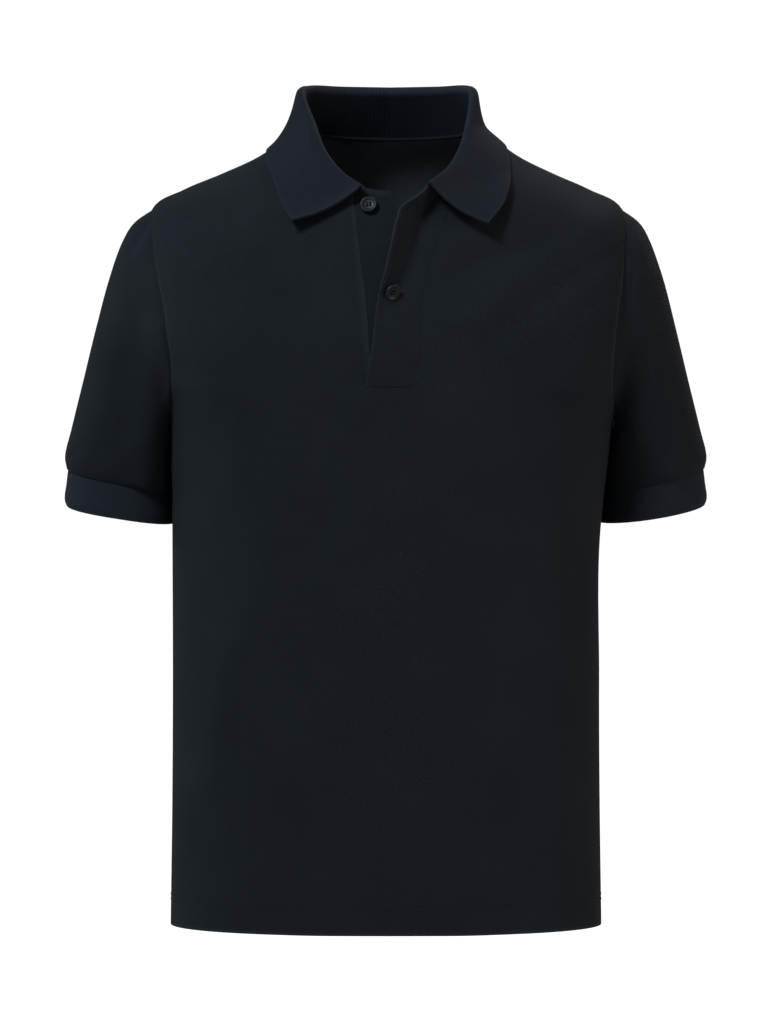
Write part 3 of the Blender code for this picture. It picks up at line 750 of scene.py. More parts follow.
def under_band():
    """The under band's outer face, behind the panel and past the notch's edge."""
    heights = follow(BODY, "front_z", CENTRE_LEVELS[NOTCH_ROW:])
    left = follow(PLACKET, "notch_left", heights) - UNDER_TUCK
    right = follow(PLACKET, "under_right", heights)
    grid, facing = band_grid(NOTCH_ROW, left, right)
    behind = np.interp(heights, *UNDER_BEHIND.T)[:, None] - UNDER_JOINED
    away = np.clip((run_along(grid, 1) - UNDER_TUCK) / UNDER_EASED_OVER, 0, 1)
    grid = grid - facing * (UNDER_JOINED + behind * eased(away))[..., None]
    top = grid[-1]
    top[:, 2] += np.interp(top[:, 0], (COLLAR_END_X - 5, COLLAR_END_X + 3), UNDER_TOP_RISE)
    return grid, facing


over_grid, over_facing = over_band()
under_grid, under_facing = under_band()
for name, grid, panel_facing, free_edge, area in (
    ("over", over_grid, over_facing, "left", 0.0050),
    ("under", under_grid, under_facing, "top", 0.0042),
):
    facing = normals(grid)
    facing[-1] = neck_mitre(grid[-1], panel_facing[-1])
    inner = grid - BAND_THICK * facing
    if name == "over":
        flat = pressed(np.linspace(0, 1, BAND_COLUMNS + 1))[None, :, None]
        from_foot = run_along(grid, 0)[..., None]
        foot = np.exp(-((from_foot / BAND_FOOT_REACH) ** 2)) * BAND_FOOT_SHARE
        flat = np.maximum(flat, foot)
        inner = inner - facing * BAND_SETTLED * flat
        grid = inner + facing * (BAND_THICK - BAND_PRESSED * flat)
        over_face = grid
    # Each band is painted paler along its free edge, as a painted highlight.
    piece = cloth_wall(
        f"placket_{name}_band",
        grid,
        inner,
        cloth_marks(grid),
        pique,
        painted_light_mark=BAND_EDGE_HIGHLIGHT * edge_highlight(grid, free_edge, reach=BAND_EDGE_REACH),
    )
    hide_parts(f"placket_{name}")
    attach(piece, "root")

# ---------------------------------------------------------------------------------------------
# Collar. One flat-knit strip of fine rib, sewn to the neck seam. It stands up, rolls over and
# falls in two points. The ribs run from the seam to the edge, which is knitted and not hemmed.

COLLAR_THICK = 1.6
STAND_STEPS = 10
ROLL_STEPS = 10
LEAF_STEPS = 26
LEAF_BULGE = 3.0
# How far each leaf's face stays from the cloth under it, from the roll to its edge, how much
# nearer it may settle, and how often its rows and columns are eased into each other.
LEAF_CLEAR = (3.2, 2.0)
LEAF_SETTLES = 0.9
LEAF_NEAR = 8.0
LEAF_EASE = 6
# Rows up the stand that are painted darker inside the neck, as painted shade, and paler over the
# roll, as a painted highlight.
STAND_PAINTED_LIGHT = np.array([(0, -1.1), (9, -1.1), (10, 0.9), (13, 0.9), (15, 0.3)])
STAND_ROWS = STAND_STEPS + 6
# How strong the painted highlight along the collar's edges is, and how far in it reaches.
COLLAR_EDGE_HIGHLIGHT = 0.5
COLLAR_EDGE_REACH = 1.5
COLLAR_COLUMNS = "along fold_x fold_y fold_z edge_x edge_y edge_z roll"
# From the centre back (0) to the front end (1): the fold and the leaf's lower edge.
COLLAR_RIGHT = table(
    COLLAR_COLUMNS,
    [
        (0.00, 2.5, 47, 54.0, 2.5, 70, 8.0, 4.5),
        (0.22, -30.0, 41, 54.0, -40.0, 60, 9.0, 4.4),
        (0.40, -52.4, 24, 53.0, -71.0, 32, 9.0, 3.6),
        (0.53, -58.2, 4, 48.0, -79.5, 2, 8.0, 3.4),
        (0.68, -50.0, -22, 24.0, -79.0, -26, -5.5, 3.2),
        (0.80, -42.0, -43, 3.5, -74.5, -48, -20.0, 2.9),
        (0.90, -30.5, -61, -12.0, -69.0, -68, -34.5, 2.6),
        (1.00, -16.2, -77, -22.8, -62.2, -84, -46.2, 2.4),
    ],
)
COLLAR_LEFT = table(
    COLLAR_COLUMNS,
    [
        (0.00, 2.5, 47, 54.0, 2.5, 70, 8.0, 4.5),
        (0.22, 35.0, 41, 54.0, 45.0, 60, 9.0, 4.4),
        (0.40, 56.0, 24, 53.0, 73.5, 32, 9.0, 3.6),
        (0.53, 59.8, 4, 47.5, 77.0, 2, 7.0, 3.4),
        (0.68, 56.0, -22, 22.5, 81.5, -25, -5.0, 3.2),
        (0.80, 50.5, -42, 5.0, 83.2, -50, -18.0, 2.9),
        (0.90, 42.0, -62, -9.5, 78.2, -70, -33.6, 2.6),
        (1.00, 28.8, -82, -21.3, 67.4, -88, -48.6, 2.4),
    ],
)


def tree_of(*grids):
    """The outer faces of the grids, for finding the nearest point on them."""
    points, faces = [], []
    for grid in grids:
        rows, columns = grid.shape[:2]
        r, c = np.mgrid[0 : rows - 1, 0 : columns - 1]
        at = (len(points) + r * columns + c).ravel()
        points += grid.reshape(-1, 3).tolist()
        faces += np.stack([at, at + 1, at + columns + 1, at + columns], 1).tolist()
    return BVHTree.FromPolygons(points, faces)


def lifted(grid, tree, clear, reach):
    """The grid with each point that is nearer the surface than clear moved out from it."""
    moved = grid.copy().reshape(-1, 3)
    clears = np.broadcast_to(clear, grid.shape[:2]).ravel()
    for point, wanted in zip(moved, clears):
        near, normal, _, away = tree.find_nearest(point.tolist())
        short = wanted - float(np.dot(point - np.array(near), np.array(normal)))
        if short > 0 and away < reach:
            point += short * np.array(normal)
    return moved.reshape(grid.shape)


def make_rib_knit():
    """Fine knitted ribs: rounded cords side by side, each a chain of small stitches."""
    tree, given, result = new_group(
        "rib_knit",
        [
            ("Cloth", "NodeSocketVector", None),
            ("Pitch", "NodeSocketFloat", 0.0022),
            ("Stitch", "NodeSocketFloat", 0.0011),
        ],
        [("Height", "NodeSocketFloat")],
    )
    split = tree.nodes.new("ShaderNodeSeparateXYZ")
    tree.links.new(given.outputs["Cloth"], split.inputs[0])
    stray = tree.nodes.new("ShaderNodeTexNoise")
    stray.inputs["Scale"].default_value = 160
    tree.links.new(given.outputs["Cloth"], stray.inputs["Vector"])
    shift = math_node(tree, "SUBTRACT", stray.outputs["Fac"], 0.5)
    shift = math_node(tree, "MULTIPLY", shift, 0.6)
    across = math_node(tree, "DIVIDE", split.outputs["X"], given.outputs["Pitch"])
    across = math_node(tree, "ADD", across, shift)
    wave = math_node(tree, "SINE", math_node(tree, "MULTIPLY", across, math.pi))
    cord = math_node(tree, "POWER", math_node(tree, "ABSOLUTE", wave), 0.6)
    up = math_node(tree, "DIVIDE", split.outputs["Y"], given.outputs["Stitch"])
    chain = math_node(tree, "COSINE", math_node(tree, "MULTIPLY", up, 2 * math.pi))
    cord = math_node(tree, "MULTIPLY", cord, 0.85)
    height = math_node(tree, "MULTIPLY_ADD", chain, 0.10, cord, clamp=True)
    tree.links.new(height, result.inputs["Height"])
    return tree


rib = cotton(
    "navy_rib",
    make_rib_knit(),
    dye=(0.0033, 0.0046, 0.0063),
    pale=(0.0136, 0.0174, 0.0220),
    relief=0.00022,
    sheen=0.006,
)


def neck_line():
    """The neck seam from the right front end by the back to the left, with its mitres."""
    front_facing, back_facing = normals(front), normals(back)
    level = CENTRE_LEVELS[-1]
    end = torso(turn_at(COLLAR_END_X, level), level)
    notch_right = SIDE_COLUMNS + NOTCH_COLUMNS
    on_band = over_grid[-1, :, 0] < front[-1, notch_right, 0] - 0.5
    runs = [
        ([end], [front_facing[-1, SIDE_COLUMNS]]),
        (front[-1, SIDE_COLUMNS::-1], front_facing[-1, SIDE_COLUMNS::-1]),
        (back[-1, ::-1][1:-1], back_facing[-1, ::-1][1:-1]),
        (front[-1, :notch_right:-1], front_facing[-1, :notch_right:-1]),
        (over_grid[-1, on_band][::-1], over_facing[-1, on_band][::-1]),
    ]
    points = np.concatenate([run for run, _ in runs])
    facing = np.concatenate([facing for _, facing in runs])
    apart = np.linalg.norm(np.diff(points, axis=0), axis=1) > 0.25
    chosen = np.concatenate([[True], apart])
    return points[chosen], neck_mitre(points, facing)[chosen]


def collar_alongs(points):
    """Each neck point's share of the way from the centre back to its own front end."""
    steps = np.linalg.norm(np.diff(points, axis=0), axis=1)
    run = np.concatenate([[0], np.cumsum(steps)])
    middle = np.argmax(points[:, 1])
    right = (run[middle] - run[: middle + 1]) / run[middle]
    left = (run[middle + 1 :] - run[middle]) / (run[-1] - run[middle])
    return right, left


def collar_section(neck, fold, edge, roll):
    """One section of the face that shows: up inside the stand, over the roll, down the leaf."""
    up = np.array([0, 0, 1.0])
    down_leaf = edge - fold
    aside = unit(down_leaf * (1, 1, 0))
    angles = np.radians(np.linspace(180, 0, ROLL_STEPS + 1))
    over = [fold + roll * (math.cos(a) * aside + (math.sin(a) - 1) * up) for a in angles]
    stand = [neck + (over[0] - neck) * i / STAND_STEPS for i in range(STAND_STEPS)]
    bulge = unit(np.cross(down_leaf, np.cross(aside, up))) * LEAF_BULGE
    leaf = [
        over[-1] + (edge - over[-1]) * t + bulge * math.sin(math.pi * t)
        for t in np.linspace(0, 1, LEAF_STEPS + 1)[1:]
    ]
    return stand + over + leaf


def collar_face():
    """The collar's face that shows, in rows from the neck seam to its edge, and the seam."""
    seam, mitre = neck_line()
    upward = unit(np.cross(np.gradient(seam, axis=0), mitre))
    upward *= np.sign(upward[:, 2:])
    seam = seam + SEAM_GAP * upward
    right, left = collar_alongs(seam)
    sections = []
    for i, along in enumerate(np.concatenate([right, left])):
        source = COLLAR_RIGHT if i < len(right) else COLLAR_LEFT
        fold, edge = (
            np.array([follow(source, f"{part}_{axis}", along) for axis in "xyz"])
            for part in ("fold", "edge")
        )
        neck = seam[i] - COLLAR_THICK * mitre[i]
        sections.append(collar_section(neck, fold, edge, follow(source, "roll", along)))
    return np.array(sections).transpose(1, 0, 2), seam


collar, collar_seam = collar_face()
leaf_rows = slice(STAND_STEPS + ROLL_STEPS, None)
leaf_clear = np.linspace(*LEAF_CLEAR, LEAF_STEPS + 1)[:, None]
under_leaf = tree_of(front, back, over_grid)
push = lifted(collar[leaf_rows], under_leaf, leaf_clear, LEAF_NEAR) - collar[leaf_rows]
for axis in (0, 1) * LEAF_EASE:
    wide = np.pad(push, [(1, 1) if i == axis else (0, 0) for i in range(3)], mode="edge")
    length = push.shape[axis]
    before, after = wide.take(range(length), axis), wide.take(range(2, length + 2), axis)
    push = (before + 2 * push + after) / 4
settled = leaf_clear - LEAF_SETTLES
collar[leaf_rows] = lifted(collar[leaf_rows] + push, under_leaf, settled, LEAF_NEAR)
eased_rows = np.arange(STAND_ROWS, STAND_ROWS + ROLL_STEPS + 1)
for _ in range(LEAF_EASE):
    rows_beside = collar[eased_rows - 1] + collar[eased_rows + 1]
    collar[eased_rows] = (rows_beside + 2 * collar[eased_rows]) / 4
collar_reverse = collar - COLLAR_THICK * normals(collar)
collar_reverse[0] = collar_seam
collar_marks = cloth_marks(collar)
collar_marks[..., 0] = collar_marks[STAND_STEPS, :, 0]
# The collar's edges are painted paler, as painted highlights, and the stand carries its painted
# shade and highlight.
collar_painted_light = edge_highlight(collar, "top", "left", "right", reach=COLLAR_EDGE_REACH)
collar_painted_light *= COLLAR_EDGE_HIGHLIGHT
collar_painted_light[:STAND_ROWS] = np.interp(np.arange(STAND_ROWS), *STAND_PAINTED_LIGHT.T)[:, None]
collar_piece = cloth_wall("rib_collar", collar, collar_reverse, collar_marks, rib, painted_light_mark=collar_painted_light)
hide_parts("collar")
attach(collar_piece, "root")

# The seam's allowance is pressed down inside the neck, as a narrow roll of pique round the foot
# of the stand. It stops short of the placket at both ends.
NECK_ROLL_RADIUS = 1.4
NECK_ROLL_SIDES = 10
NECK_ROLL_CLEAR = 0.2
NECK_ROLL_DROP = np.array([0, 0, 1.0])
NECK_ROLL_HOLLOW = 0.3
NECK_ROLL_FROM = 6
# The roll is painted darker, as shade inside the neck.
NECK_ROLL_PAINTED_SHADE = -0.3


def around_thread(aside, above, sides):
    """For each pair of directions across a round thread, the directions of points round it."""
    angles = np.arange(sides) * 2 * math.pi / sides
    cosine, sine = np.cos(angles)[None, :, None], np.sin(angles)[None, :, None]
    return cosine * aside[:, None] + sine * above[:, None]


def neck_roll(line):
    """Rings of a thin roll along a line."""
    ahead = unit(np.gradient(line, axis=0))
    aside = unit(np.cross(ahead, np.array([0, 0, 1.0])))
    round_about = around_thread(aside, np.cross(aside, ahead), NECK_ROLL_SIDES)
    return line[:, None] + NECK_ROLL_RADIUS * round_about


inside_neck = collar[0]
towards_middle = unit((NECK_MIDDLE - inside_neck) * (1, 1, 0))
from_stand = NECK_ROLL_RADIUS + NECK_ROLL_CLEAR
roll_line = inside_neck + towards_middle * from_stand - NECK_ROLL_DROP
roll_line = roll_line[NECK_ROLL_FROM:-BAND_COLUMNS]
roll = neck_roll(roll_line)
roll_inner = roll_line[:, None] + NECK_ROLL_HOLLOW * (roll - roll_line[:, None])
neck_roll_piece = cloth_wall(
    "neck_seam_allowance",
    roll,
    roll_inner,
    cloth_marks(np.concatenate([roll, roll[:, :1]], axis=1)),
    pique,
    painted_light_mark=np.full(roll.shape[:2], NECK_ROLL_PAINTED_SHADE),
    around=True,
)
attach(neck_roll_piece, "root")

# ---------------------------------------------------------------------------------------------
# Sleeves. Two short set-in sleeves of pique, each a tube sewn into its armhole, with its own
# seam under the arm. They hang a little behind the body's middle, and blouse over the cuffs.

SLEEVE_THICK = 1.2
SLEEVE_STEPS = 84
NEAR_ARMHOLE = (0, 0.004, 0.01, 0.018)
NEXT_TO_ARMHOLE = 0.028
# How far a sleeve stays from the body, and how its seam is drawn in at the armhole.
REST_CLEAR = 0.5
REST_NEAR = 7.0
SLEEVE_SINK = 0.8
SLEEVE_SINK_WIDTH = 2.8
# How square the front half of each sleeve's section is, where 2 is an oval: the wearer's left
# (+1) and right (-1).
SLEEVE_FRONT_POWER = {1: 2.0, -1: 2.7}
# The folds are fainter behind, and fade out at the ends and where the cloth faces sideways.
FOLDS_BEHIND = -0.6
FOLDS_FADE_IN = 0.05
FOLDS_FADE_OUT = 0.03
FOLDS_FACING = 0.5
FOLDS_LEAST = 0.15
SLEEVE_COLUMNS = "along outer_x outer_z inner_z clear mid_y half_depth sag"
SLEEVE = table(
    SLEEVE_COLUMNS,
    [
        (0.00, 160.2, -34.0, -184.0, 0.6, 4, 50.0, 0),
        (0.10, 171.8, -42.0, -189.0, 0.8, 10, 52.0, 0),
        (0.22, 179.8, -54.4, -194.0, 0.8, 15, 54.0, 0),
        (0.38, 189.6, -81.6, -200.0, 0.8, 19, 55.5, 1),
        (0.54, 198.4, -115.0, -206.0, 0.8, 21, 55.0, 2),
        (0.70, 207.0, -149.6, -212.0, 0.9, 23, 53.0, 3),
        (0.86, 215.2, -182.0, -218.5, 1.1, 25, 50.5, 4),
        (0.95, 219.7, -201.0, -222.5, 1.3, 26, 48.6, 4.4),
        (1.00, 218.5, -208.3, -224.0, 1.6, 26, 46.8, 4.5),
    ],
)
# The folds of each sleeve, seen from the front, with x outwards.
SLEEVE_FOLDS = {
    1: [
        (168, -60, 172, -120, 1.6, 9),
        (188, -80, 204, -190, 1.4, 11),
        (150, -60, 153, -176, -3.6, 10),
        (160, -176, 190, -212, 1.2, 8),
        (206, -196, 216, -204, 0.9, 5),
    ],
    -1: [
        (161, -43, 171, -62, -2.6, 4),
        (152, -40, 160, -58, 1.2, 5),
        (172, -62, 184, -130, 1.6, 10),
        (154, -120, 163, -236, 2.6, 11),
        (192, -120, 206, -196, 1.2, 10),
        (206, -196, 214, -202, -1.0, 4),
        (164, -190, 186, -210, 1.0, 8),
    ],
}


def torso_reach(y, z, side):
    """How far the torso's back half reaches sideways, below the underarm, at this y and z."""
    level = np.interp(z, BODY["side_z"][:6], BODY["level"][:6])
    share = 1 - (y / follow(BODY, "back", level)) ** follow(BODY, "power", level)
    reach = follow(BODY, "half", level) * share ** (1 / follow(BODY, "power", level))
    return reach + side * follow(BODY, "shift", level)


def arm_rings(source, alongs, side):
    """Oval rings down a sleeve or a cuff, from the top of each round by the front."""
    turns = np.radians(np.arange(2 * ARMHOLE_STEPS) * 180 / ARMHOLE_STEPS)[:, None]
    sine, cosine = np.sin(turns), np.cos(turns)
    flatter = 2 / np.where(sine > 0, SLEEVE_FRONT_POWER[side], 2)
    across = np.sign(cosine) * np.abs(cosine) ** flatter
    ahead = np.sign(sine) * np.abs(sine) ** flatter
    rings = []
    for along in alongs:
        row = {name: follow(source, name, along) for name in source if name != "key"}
        reach = torso_reach(row["mid_y"], row["inner_z"], side) + row["clear"]
        high = np.array([row["outer_x"], row["mid_y"], row["outer_z"]])
        low = np.array([reach, row["mid_y"], row["inner_z"]])
        forward = np.array([0, -row["half_depth"], -row["sag"]])
        ring = (high + low) / 2 + across * (high - low) / 2 + ahead * forward
        rings.append(ring * (side, 1, 1))
    return np.array(rings)


def tube_folded(rings, folds, side):
    """A tube's grid with soft folds on the half that faces forward, and fainter ones behind."""
    facing = normals(rings, around=True) * side
    seen = np.stack([rings[..., 0] * side, rings[..., 2]], axis=-1)
    behind = rings[..., 1] > rings[..., 1].mean(axis=1, keepdims=True)
    height = fold_height(seen, folds) * np.where(behind, FOLDS_BEHIND, 1.0)
    share = np.linspace(0, 1, len(rings))[:, None]
    height *= np.clip(share / FOLDS_FADE_IN, 0, 1) * np.clip((1 - share) / FOLDS_FADE_OUT, 0, 1)
    height *= np.clip(np.abs(facing[..., 1]) / FOLDS_FACING, FOLDS_LEAST, 1)
    return rings + facing * height[..., None]


def tube_marks(rings):
    """Places on a tube's flat cloth, with one more column where it closes."""
    closed = np.concatenate([rings, rings[:, :1]], axis=1)
    return cloth_marks(closed)


def cloth_tube(name, outer, inner, side, material, painted_light_mark=None, inside_painted_light=0.0):
    """A tube's wall. The wearer's right one runs the other way round, so that it faces out."""
    if side < 0:
        outer, inner = outer[:, ::-1], inner[:, ::-1]
    marks = tube_marks(outer)
    return cloth_wall(name, outer, inner, marks, material, painted_light_mark, inside_painted_light, around=True)


torso_tree = tree_of(front[: UNDERARM_ROW + 1], back[: UNDERARM_ROW + 1])
ring_places = np.arange(2 * ARMHOLE_STEPS)
to_welt = np.clip(np.minimum(ring_places, 2 * ARMHOLE_STEPS - ring_places) / WELT_FADE, 0, 1)
sleeve_ends = {}
for side, word in ((1, "left"), (-1, "right")):
    armhole = armhole_ring(side)
    outward, plane = ring_outward(armhole)
    evenly = np.linspace(NEXT_TO_ARMHOLE, 1, SLEEVE_STEPS - 3)
    alongs = np.concatenate([NEAR_ARMHOLE, evenly])
    rings = arm_rings(SLEEVE, alongs, side)
    rings = rings + ((1 - alongs) ** 3)[:, None, None] * (armhole - rings[0])
    rings = tube_folded(rings, SLEEVE_FOLDS[side], side)
    facing = normals(rings, around=True) * side
    facing[0] = outward
    inner = rings - SLEEVE_THICK * facing
    rings[0] += SEWN_GAP * plane
    rings[1:] = lifted(rings[1:], torso_tree, REST_CLEAR, REST_NEAR)
    sleeve_ends[side] = inner[-1]
    depth = SEAM_SINK + (SLEEVE_SINK - SEAM_SINK) * eased(to_welt)
    sink = depth * np.exp(-((run_along(rings, 0) / SLEEVE_SINK_WIDTH) ** 2))
    sewn = rings - facing * sink[..., None]
    # The sleeve's reverse is painted paler, as light on the shaded inside.
    piece = cloth_tube(f"sleeve_{word}_tube", sewn, inner, side, pique, inside_painted_light=INSIDE_PAINTED_LIGHT)
    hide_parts(f"sleeve_{word}")
    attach(piece, "root")

# ---------------------------------------------------------------------------------------------
# Cuffs. Two bands of finer flat rib, 22 mm deep, sewn to the sleeves' lower edges, which they
# draw in a little. Like the collar's, their edge is knitted.

CUFF_THICK = 1.8
CUFF_STEPS = 16
# The cuffs are painted paler all over, as painted light, and paler still along an edge, as a
# painted highlight.
CUFF_PAINTED_LIGHT = 0.4
CUFF_SEAM_REACH = 1.4
CUFF = table(
    SLEEVE_COLUMNS,
    [
        (0.00, 217.5, -208.36, -224.06, 1.8, 26, 46.2, 4.5),
        (0.40, 218.7, -218.5, -232.8, 1.4, 26, 46.6, 4.6),
        (0.90, 219.5, -231.5, -243.6, 1.4, 26, 46.6, 4.8),
        (1.00, 218.5, -233.6, -245.4, 1.8, 26, 46.2, 4.8),
    ],
)
for side, word in ((1, "left"), (-1, "right")):
    rings = arm_rings(CUFF, np.linspace(0, 1, CUFF_STEPS + 1), side)
    inner = rings - CUFF_THICK * normals(rings, around=True) * side
    inner[0] = sleeve_ends[side]
    # Painted light: paler all over, and a painted highlight along one edge.
    painted_light_mark = edge_highlight(rings, "top", reach=CUFF_SEAM_REACH) + CUFF_PAINTED_LIGHT
    piece = cloth_tube(f"cuff_{word}_band", rings, inner, side, rib, painted_light_mark=painted_light_mark)
    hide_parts(f"cuff_{word}")
    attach(piece, "root")

# ---------------------------------------------------------------------------------------------
# Buttons. Two dyed polyester buttons with a raised rim and four holes, sewn to the under band
# with navy thread. The top one is undone, and the lower one is through its hole in the over band.

# The half section that is turned: each point's distance from the middle, and its height.
BUTTON_PROFILE = [
    (0, 1.6),
    (2.6, 1.6),
    (3.35, 1.68),
    (3.95, 2.05),
    (4.35, 2.33),
    (4.8, 2.42),
    (5.2, 2.3),
    (5.5, 1.95),
    (5.65, 1.45),
    (5.55, 0.85),
    (5.15, 0.35),
    (4.25, 0),
    (0, 0),
]
BUTTON_SHANK = 1.1
BUTTON_HOLES = 4
BUTTON_HOLE_RADIUS = 0.8
BUTTON_HOLE_FROM_CENTRE = 1.5
BUTTON_HOLES_TURN = 52.5
BUTTON_TURN_STEPS = 64
BUTTON_HOLE_SIDES = 20
BUTTON_THREAD_SEAT = 1.45
BUTTON_THREAD_RADIUS = 0.42
BUTTON_THREAD_RISE = 0.5
THREAD_SIDES = 6
THREAD_TAPER = (0.35, 0.9, 1.0, 0.9, 0.35)
AHEAD_Y = -400


def make_button_resin():
    """Satin dyed polyester, faintly cloudy, with scuffs that catch the light on the rim."""
    material = bpy.data.materials.new("navy_button")
    material.use_nodes = True
    tree = material.node_tree
    shader = tree.nodes["Principled BSDF"]
    place = tree.nodes.new("ShaderNodeTexCoord")
    cloud, scuff = tree.nodes.new("ShaderNodeTexNoise"), tree.nodes.new("ShaderNodeTexNoise")
    cloud.inputs["Scale"].default_value = 260
    scuff.inputs["Scale"].default_value = 1800
    for node in (cloud, scuff):
        tree.links.new(place.outputs["Object"], node.inputs["Vector"])
    ramp = tree.nodes.new("ShaderNodeValToRGB")
    ramp.color_ramp.elements[0].color = (0.003, 0.004, 0.006, 1)
    ramp.color_ramp.elements[1].color = (0.008, 0.010, 0.014, 1)
    tree.links.new(cloud.outputs["Fac"], ramp.inputs["Fac"])
    tree.links.new(ramp.outputs["Color"], shader.inputs["Base Color"])
    rough = math_node(tree, "MULTIPLY_ADD", scuff.outputs["Fac"], 0.25, 0.30)
    tree.links.new(rough, shader.inputs["Roughness"])
    shader.inputs["Specular IOR Level"].default_value = 0.12
    bump = tree.nodes.new("ShaderNodeBump")
    bump.inputs["Distance"].default_value = 0.00003
    tree.links.new(scuff.outputs["Fac"], bump.inputs["Height"])
    tree.links.new(bump.outputs["Normal"], shader.inputs["Normal"])
    return material


def make_thread():
    """Twisted polyester thread: two plies seen as fine slanting ridges, with painted shade in the
    grooves between them.
    """
    material = bpy.data.materials.new("navy_thread")
    material.use_nodes = True
    tree = material.node_tree
    shader = tree.nodes["Principled BSDF"]
    place = tree.nodes.new("ShaderNodeTexCoord")
    twist = tree.nodes.new("ShaderNodeTexWave")
    twist.bands_direction = "DIAGONAL"
    twist.inputs["Scale"].default_value = 900
    twist.inputs["Distortion"].default_value = 1.5
    tree.links.new(place.outputs["Object"], twist.inputs["Vector"])
    # The ridges are painted paler and the grooves darker, as painted shade.
    ramp = tree.nodes.new("ShaderNodeValToRGB")
    ramp.color_ramp.elements[0].color = (0.002, 0.003, 0.005, 1)
    ramp.color_ramp.elements[1].color = (0.009, 0.013, 0.017, 1)
    tree.links.new(twist.outputs["Fac"], ramp.inputs["Fac"])
    tree.links.new(ramp.outputs["Color"], shader.inputs["Base Color"])
    bump = tree.nodes.new("ShaderNodeBump")
    bump.inputs["Distance"].default_value = 0.00008
    tree.links.new(twist.outputs["Fac"], bump.inputs["Height"])
    tree.links.new(bump.outputs["Normal"], shader.inputs["Normal"])
    shader.inputs["Roughness"].default_value = 0.7
    shader.inputs["Specular IOR Level"].default_value = 0.1
    return material


button_resin = make_button_resin()
thread = make_thread()


def spindles(name, starts, ends, facings, radius, rise):
    """One mesh of short rounded threads, each from a start to an end and raised in between."""
    rings, sides = len(THREAD_TAPER), THREAD_SIDES
    t = np.linspace(0, 1, rings)
    thick = radius * np.array(THREAD_TAPER)
    aside = unit(np.cross(unit(ends - starts), facings))
    middle = starts[:, None] + (ends - starts)[:, None] * t[None, :, None]
    middle = middle + facings[:, None] * (rise * np.sin(np.pi * t))[None, :, None]
    round_about = around_thread(aside, facings, sides)
    points = middle[:, :, None] + thick[None, :, None, None] * round_about[:, None]
    base = np.arange(len(starts))[:, None] * rings * sides
    faces = []
    for low in range(0, (rings - 1) * sides, sides):
        for side in range(sides):
            after = (side + 1) % sides
            high = low + sides
            faces.append(base + np.array([low + side, low + after, high + after, high + side]))
    first_cap, last_cap = np.arange(sides)[::-1], (rings - 1) * sides + np.arange(sides)
    faces += [base + first_cap, base + last_cap]
    mesh = bpy.data.meshes.new(name)
    all_faces = [face for group in faces for face in group.tolist()]
    mesh.from_pydata((points.reshape(-1, 3) * MM).tolist(), [], all_faces)
    mesh.shade_smooth()
    mesh.materials.append(thread)
    made = bpy.data.objects.new(name, mesh)
    bpy.context.collection.objects.link(made)
    return made


def on_cloth(grid, x, z):
    """The point of a face that lies straight ahead of x and z, and its normal."""
    near, normal, _, _ = grid.ray_cast((x, AHEAD_Y, z), (0, 1, 0))
    normal = -normal if normal[1] > 0 else normal
    return np.array(near), np.array(normal)


def sewn_button(name, node, x, z, cloth, lean):
    """A turned button with its holes, and two threads across them, on a face of cloth."""
    near, normal = on_cloth(tree_of(cloth), x, z)
    normal = unit(normal + np.array(lean))
    mesh = bpy.data.meshes.new(name)
    points = [(radius * MM, 0, height * MM) for radius, height in BUTTON_PROFILE]
    mesh.from_pydata(points, [(i, i + 1) for i in range(len(points) - 1)], [])
    mesh.materials.append(button_resin)
    button = bpy.data.objects.new(name, mesh)
    bpy.context.collection.objects.link(button)
    turned = button.modifiers.new("turned", "SCREW")
    turned.steps = turned.render_steps = BUTTON_TURN_STEPS
    turned.use_merge_vertices = True
    turned.merge_threshold = 0.00001
    turned.use_smooth_shade = True
    seat = near + normal * BUTTON_SHANK
    button.rotation_euler = Vector(normal).to_track_quat("Z", "Y").to_euler()
    button.location = Vector(seat) * MM
    bpy.context.view_layer.update()
    cutters, holes = [], []
    for i in range(BUTTON_HOLES):
        turn = math.radians(BUTTON_HOLES_TURN + 360 * i / BUTTON_HOLES)
        place = Vector((math.cos(turn), math.sin(turn), 0)) * BUTTON_HOLE_FROM_CENTRE * MM
        holes.append(np.array(button.matrix_world @ place) / MM)
        bpy.ops.mesh.primitive_cylinder_add(
            vertices=BUTTON_HOLE_SIDES, radius=BUTTON_HOLE_RADIUS * MM, depth=0.01
        )
        cutter = bpy.context.object
        cutter.matrix_world = button.matrix_world
        cutter.location = button.matrix_world @ place
        cut = button.modifiers.new("hole", "BOOLEAN")
        cut.object = cutter
        cutters.append(cutter)
    bpy.context.view_layer.update()
    evaluated = button.evaluated_get(bpy.context.evaluated_depsgraph_get())
    whole = bpy.data.meshes.new_from_object(evaluated)
    button.modifiers.clear()
    button.data = whole
    button.data.set_sharp_from_angle(angle=math.radians(40))
    for cutter in cutters:
        bpy.data.objects.remove(cutter, do_unlink=True)
    starts, ends = (
        np.array([holes[i], holes[j]]) + normal * BUTTON_THREAD_SEAT for i, j in ((0, 1), (3, 2))
    )
    facings = np.array([normal, normal])
    size = (BUTTON_THREAD_RADIUS, BUTTON_THREAD_RISE)
    sewn = spindles(f"{name}_thread", starts, ends, facings, *size)
    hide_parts(node)
    for piece in (button, sewn):
        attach(piece, "root")


# Buttonholes stand upright in the over band, each edge closely oversewn beside its slit.
BUTTONHOLE_LENGTH = 14.0
BUTTONHOLE_HALF = 1.5
BUTTONHOLE_SLIT = 0.25
BUTTONHOLE_PITCH = 0.45
BUTTONHOLE_BAR = (-0.3, 0, 0.3)
BUTTONHOLE_THREAD_RADIUS = 0.24
BUTTONHOLE_THREAD_RISE = 0.1


